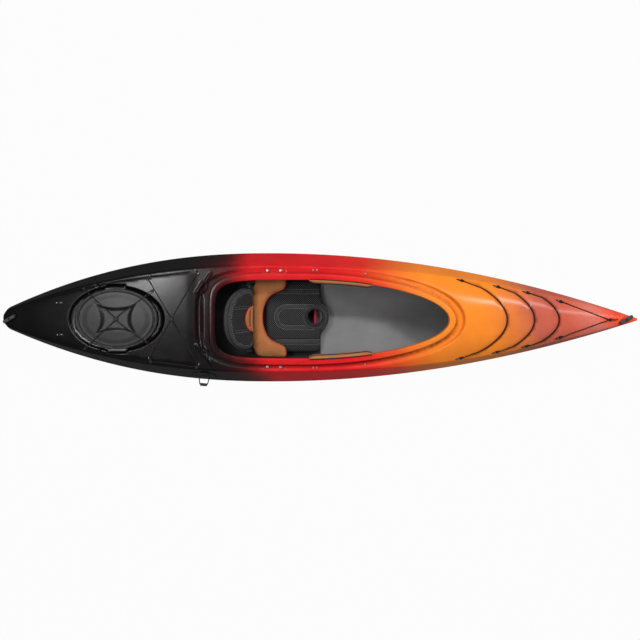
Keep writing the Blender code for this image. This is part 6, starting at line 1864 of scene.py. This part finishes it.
def make_backrest():
    """Builds the sewn cushion, its board and the lumbar tab"""
    outline = [flat(-p.y, p.x) for p in whole_line((
        (0.266, 0.0), (0.264, 0.045), (0.254, 0.088), (0.232, 0.126), (0.194, 0.158), (0.146, 0.180),
        (0.100, 0.188), (0.060, 0.186), (0.034, 0.176), (0.018, 0.152), (0.014, 0.100), (0.014, 0.0),
    ), 0.010)]
    mesh = stacked(outline, (
        (-0.006, -0.0015), (-0.003, 0.003), (-0.003, 0.022), (-0.008, 0.030), (-0.018, 0.034),
    ))
    mesh = swollen(mesh, 0.006, lambda p: smooth_share(p.z, 0.0, 0.014))
    inside = grown(outline, -BACK_BORDER)
    border = sorted((p for p in inside if p.y > 0.045), key=lambda p: atan2(p.y - 0.045, p.x))
    top = max(p.y for p in border)
    rises = [blend(0.022, top - 0.022, i / 8) for i in range(9)]
    panels = [[flat(side * BACK_PANEL, y) for y in rises] for side in SIDES.values()]
    sewn(mesh, panels, 0.0060, 0.0085)
    sewn(mesh, [border], 0.0045, 0.0045)

    def plain(middle, normal):
        odd = False
        for a, b in zip(inside, inside[1:] + inside[:1]):
            if (a.y > middle.y) != (b.y > middle.y):
                odd ^= middle.x < (b.x - a.x) * (middle.y - a.y) / (b.y - a.y) + a.x
        return normal.z <= 0.5 or not odd

    surface = Surface(faced(mesh, ("back_mesh", "black_cloth"), plain))
    rows = [border] + [[p + flat(d, 0) for p in line] for line in panels for d in (-0.006, 0.006)]
    thread = stitches(surface, rows, "grey_thread")
    rim = edge_cord(surface, grown(outline, 0.012), 0.030, "black_edge", closed=True)
    show("backrest_cushion", on_back(joined(mesh, thread, rim)), "backrest_pad")

    plate = stacked(outline, ((-0.012, -0.0088), (-0.010, -0.0080), (-0.010, -0.0034), (-0.012, -0.0026)))
    ends = (KNUCKLE_OUT, -1), (KNUCKLE_OUT, 1), (KNUCKLE_IN, 1), (KNUCKLE_IN, -1)
    loops = [[(radius * c, side * KNUCKLE_HALF, radius * s) for c, s in circle(28)] for radius, side in ends]
    knuckle = painted(skin(loops, ring=True, sharp=40), "black")
    shell = joined(on_back(painted(plate, "black")), placed(knuckle, BACK_PLACE))
    show("backrest_shell", shell, "backrest_board")

    arch = [flat(TAB_REACH * cos(pi * i / 28), TAB_Y + TAB_REACH * sin(pi * i / 28)) for i in range(29)]
    foot = [flat(x, 0.0245) for x in (-0.070, -0.045, -0.015, 0.015, 0.045, 0.070)]
    tab = stacked(arch + foot, ((-0.003, 0.0392), (-0.001, 0.0405), (-0.001, 0.0445), (-0.004, 0.0470)))
    corners = ((-SLIT_HALF, SLIT_LOW), (SLIT_HALF, SLIT_LOW), (SLIT_HALF, SLIT_HIGH), (-SLIT_HALF, SLIT_HIGH))
    tab = cut(tab, stacked([flat(*corner) for corner in corners], ((0.0, 0.02), (0.0, 0.08))))
    tab = tan_pad(swollen(tab, 0.0020, lambda p: smooth_share(p.z, 0.039, 0.042), 0.0030))
    surface = Surface(tab)
    edge = [p + flat(p.x, p.y - TAB_Y).normalized() * 0.008 for p in arch]
    piping = edge_cord(surface, edge, 0.0455, "red_piping", 0.0042)
    thread = stitches(surface, [[p * 0.88 + flat(0, 0.0035) for p in arch]], "tan_side")
    show("lumbar_pad", on_back(joined(tab, piping, thread)), "lumbar_tab")


def make_cup():
    """Builds the cup ring and the strap under it"""
    profile = (
        (0.0492, 0.0576), (0.0492, 0.0985), (0.0575, 0.1004), (0.0590, 0.1016), (0.0580, 0.1042),
        (0.0545, 0.1058), (0.0505, 0.1050), (0.0478, 0.1015), (0.0464, 0.0930), (0.0460, 0.0576),
    )
    ring = skin([[(CUP_X + r * c, r * s, z) for c, s in circle(56)] for r, z in profile], ring=True)
    show("cup_rim", painted(ring, "eye_black"), "cup_ring")
    low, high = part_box("leg_lift_strap")
    middle = (low.x + high.x) / 2
    loops = []
    for i in range(41):
        y = blend(low.y, high.y, i / 40)
        half = blend(0.0060, (high.x - low.x) / 2, smooth_share(abs(y), 0.048, 0.085))
        corners = ((-half, low.z), (half, low.z), (half, high.z), (-half, high.z))
        loops.append([(middle + x, y, z) for x, z in corners])
    show("leg_strap", painted(bevelled(skin(loops, sharp=30), 0.0004), "webbing"), "leg_lift_strap")


def thigh_turn(x):
    """Turn at which the cockpit's port edge reaches an x."""
    low, high = 0.0, pi
    for _ in range(40):
        middle = (low + high) / 2
        if outline_point(COCKPIT_INNER, middle)[0] > x:
            low = middle
        else:
            high = middle
    return low


def make_thigh_pads():
    """Builds the pads on the coaming's edge"""
    count = 48
    for side, hand in SIDES.items():
        sections, upper, lower = [], [], []
        for i in range(count + 1):
            turn = thigh_turn(blend(*THIGH_X, i / count))
            rim = rim_z(turn)
            thick = THIGH_THICK * (0.40 + 0.60 * smooth_share(min(i, count - i) / count, 0.0, 0.09))
            places = (
                (0.005, 0.0006), (-0.0006, 0.0006), (-0.0006, -0.100), (-thick * 0.6, -0.102),
                (-thick * 0.95, -0.090), (-thick, -0.055), (-thick, -0.020), (-thick * 0.93, -0.006),
                (-thick * 0.72, 0.003), (-thick * 0.35, 0.0068), (0.0, 0.0072), (0.004, 0.0060),
                (0.006, 0.0032),
            )
            section = [flat(*outline_point(COCKPIT_INNER, turn, grow), rim + z) for grow, z in places]
            section = [mirrored(point, hand) for point in section]
            sections.append(section)
            upper.append(section[-2] + flat(0, 0, 0.0004))
            lower.append(section[-6] + flat(0, -hand * 0.0006))
        pad = subdivided(painted(skin(sections, sharp=180), "tan_cloth"))
        path = smooth_route(upper[1:-1] + lower[-2:0:-1], 0.006, closed=True)
        edge = tube(path, 0.0029, "black_edge", sides=10, closed=True)
        show(f"thigh_cushion_{side}", joined(pad, edge), f"thigh_pad_{side}")


# Rigid solids that only get rounded edges

PAN_CORNER = (
    (0.010, 0.30), (0.010, 0.115), (0.020, 0.094), (0.036, 0.074), (0.050, 0.050), (0.08, 0.050),
    (0.08, 0.30),
)


def make_seat_pan():
    """Trims and rounds the seat pan"""
    mesh = frame["nodes"]["seat_pan"].data.copy()
    for hand in SIDES.values():
        corner = [flat(x, hand * y) for x, y in PAN_CORNER]
        mesh = cut(mesh, stacked(corner, ((0.0, -0.05), (0.0, 0.08))))
    show("seat_pan_moulded", painted(rounded(mesh, 0.0012), "black"), "seat_pan")
    refined("dark_steel", 0.0005, "backrest_pin")


def make_keeper():
    """Rounds the keeper's bracket and loop"""
    refined("black", 0.0012, "keeper_bracket")
    refined("loop_wire", 0.0004, "keeper_loop")


def make_inner_parts():
    """Rounds the gasket, the foam and the foot braces"""
    refined("lid", 0.0005, "hatch_gasket")
    refined("foam", 0.0025, "bulkhead", "bow_pillar")
    for side in SIDES:
        refined("alloy", 0.0006, f"foot_rail_{side}")
        refined("black", 0.0008, f"foot_pedal_{side}")
        refined("grip", 0.0006, f"pedal_lever_{side}")


# Settings, operators and panel

def colour_setting(label, meaning, value):
    return FloatVectorProperty(
        name=label, description=meaning, subtype="COLOR", size=3, min=0.0, max=1.0, default=value,
    )


def length_setting(label, meaning, low, high, value):
    return FloatProperty(name=label, description=meaning, unit="LENGTH", min=low, max=high, default=value)


class KayakLooks(bpy.types.PropertyGroup):
    stern: colour_setting("Stern colour", "Shell colour round the stern", srgb(16, 15, 16))
    middle: colour_setting("Middle colour", "Shell colour beside the seat", srgb(205, 30, 34))
    fore: colour_setting("Foredeck colour", "Shell colour of the front deck", srgb(234, 131, 42))
    shade: colour_setting("Bow shade", "Shell colour between the front deck and the bow", srgb(184, 92, 74))
    bow: colour_setting("Bow colour", "Shell colour at the bow", srgb(226, 78, 48))
    inside: colour_setting("Inside colour", "Shell's inner layer", srgb(115, 115, 116))
    lid: colour_setting("Lid colour", "Hatch lid and gasket", srgb(38, 38, 39))
    pads: colour_setting("Pad colour", "Cloth of the hip, lumbar and thigh pads", srgb(166, 98, 40))
    piping: colour_setting("Piping colour", "Piping of the pads", srgb(214, 40, 36))
    floor: colour_setting("Floor colour", "Plain floor under the boat", (0.16, 0.16, 0.16))
    whiteness: FloatProperty(
        name="Floor whiteness", description="Share of pure white that the camera sees in the floor",
        subtype="FACTOR", min=0.0, max=1.0, default=0.975,
    )
    light: FloatProperty(
        name="Light", description="Level of the lamps and the sky together", min=0.0, soft_max=3.0,
        default=1.0,
    )
    cord: length_setting("Cord thickness", "Thickness of the deck cords", 0.004, 0.006, 0.0055)
    piping_width: length_setting("Piping width", "Thickness of the pads' piping", 0.002, 0.006, 0.0036)
    stitch: length_setting("Stitch length", "Spacing of the stitches on the pads", 0.004, 0.02, 0.008)
    mesh_cell: length_setting(
        "Mesh hole spacing", "Spacing of the holes in the seat's mesh cloth", 0.003, 0.012, 0.0095
    )


class Maker(bpy.types.Operator):
    """Builds one group of pieces"""
    bl_options = {"REGISTER", "UNDO"}

    def execute(self, context):
        self.build()
        return {"FINISHED"}


def maker(build):
    """Operator class of one make_ function, with its name and its words."""
    name = build.__name__.removeprefix("make_")
    words = {
        "bl_idname": "kayak." + name, "bl_label": name.replace("_", " ").capitalize(),
        "__doc__": build.__doc__, "build": staticmethod(build),
    }
    return type("KAYAK_OT_" + name, (Maker,), words)


MAKERS = tuple(maker(build) for build in (
    make_stage, make_shell, make_lid, make_eyes, make_screws, make_front_cords, make_bow_cord,
    make_rear_bungee, make_hatch_cords, make_toggles, make_seat_pan, make_cup, make_seat_base,
    make_bolster, make_backrest, make_thigh_pads, make_keeper, make_inner_parts,
))


class KAYAK_PT_panel(bpy.types.Panel):
    """Settings and pieces of the kayak"""
    bl_label = "Recreational kayak"
    bl_idname = "KAYAK_PT_panel"
    bl_space_type = "VIEW_3D"
    bl_region_type = "UI"
    bl_category = "Kayak"

    def draw(self, context):
        for name in KayakLooks.__annotations__:
            self.layout.prop(context.scene.kayak_looks, name)
        for kind in MAKERS:
            self.layout.operator(kind.bl_idname)


CLASSES = (KayakLooks, *MAKERS, KAYAK_PT_panel)


def register():
    for kind in CLASSES:
        bpy.utils.register_class(kind)
    bpy.types.Scene.kayak_looks = PointerProperty(type=KayakLooks)


def unregister():
    del bpy.types.Scene.kayak_looks
    for kind in reversed(CLASSES):
        bpy.utils.unregister_class(kind)


def main():
    register()
    for kind in MAKERS:
        getattr(bpy.ops.kayak, kind.bl_idname.split(".")[1])()


if __name__ == "__main__":
    main()
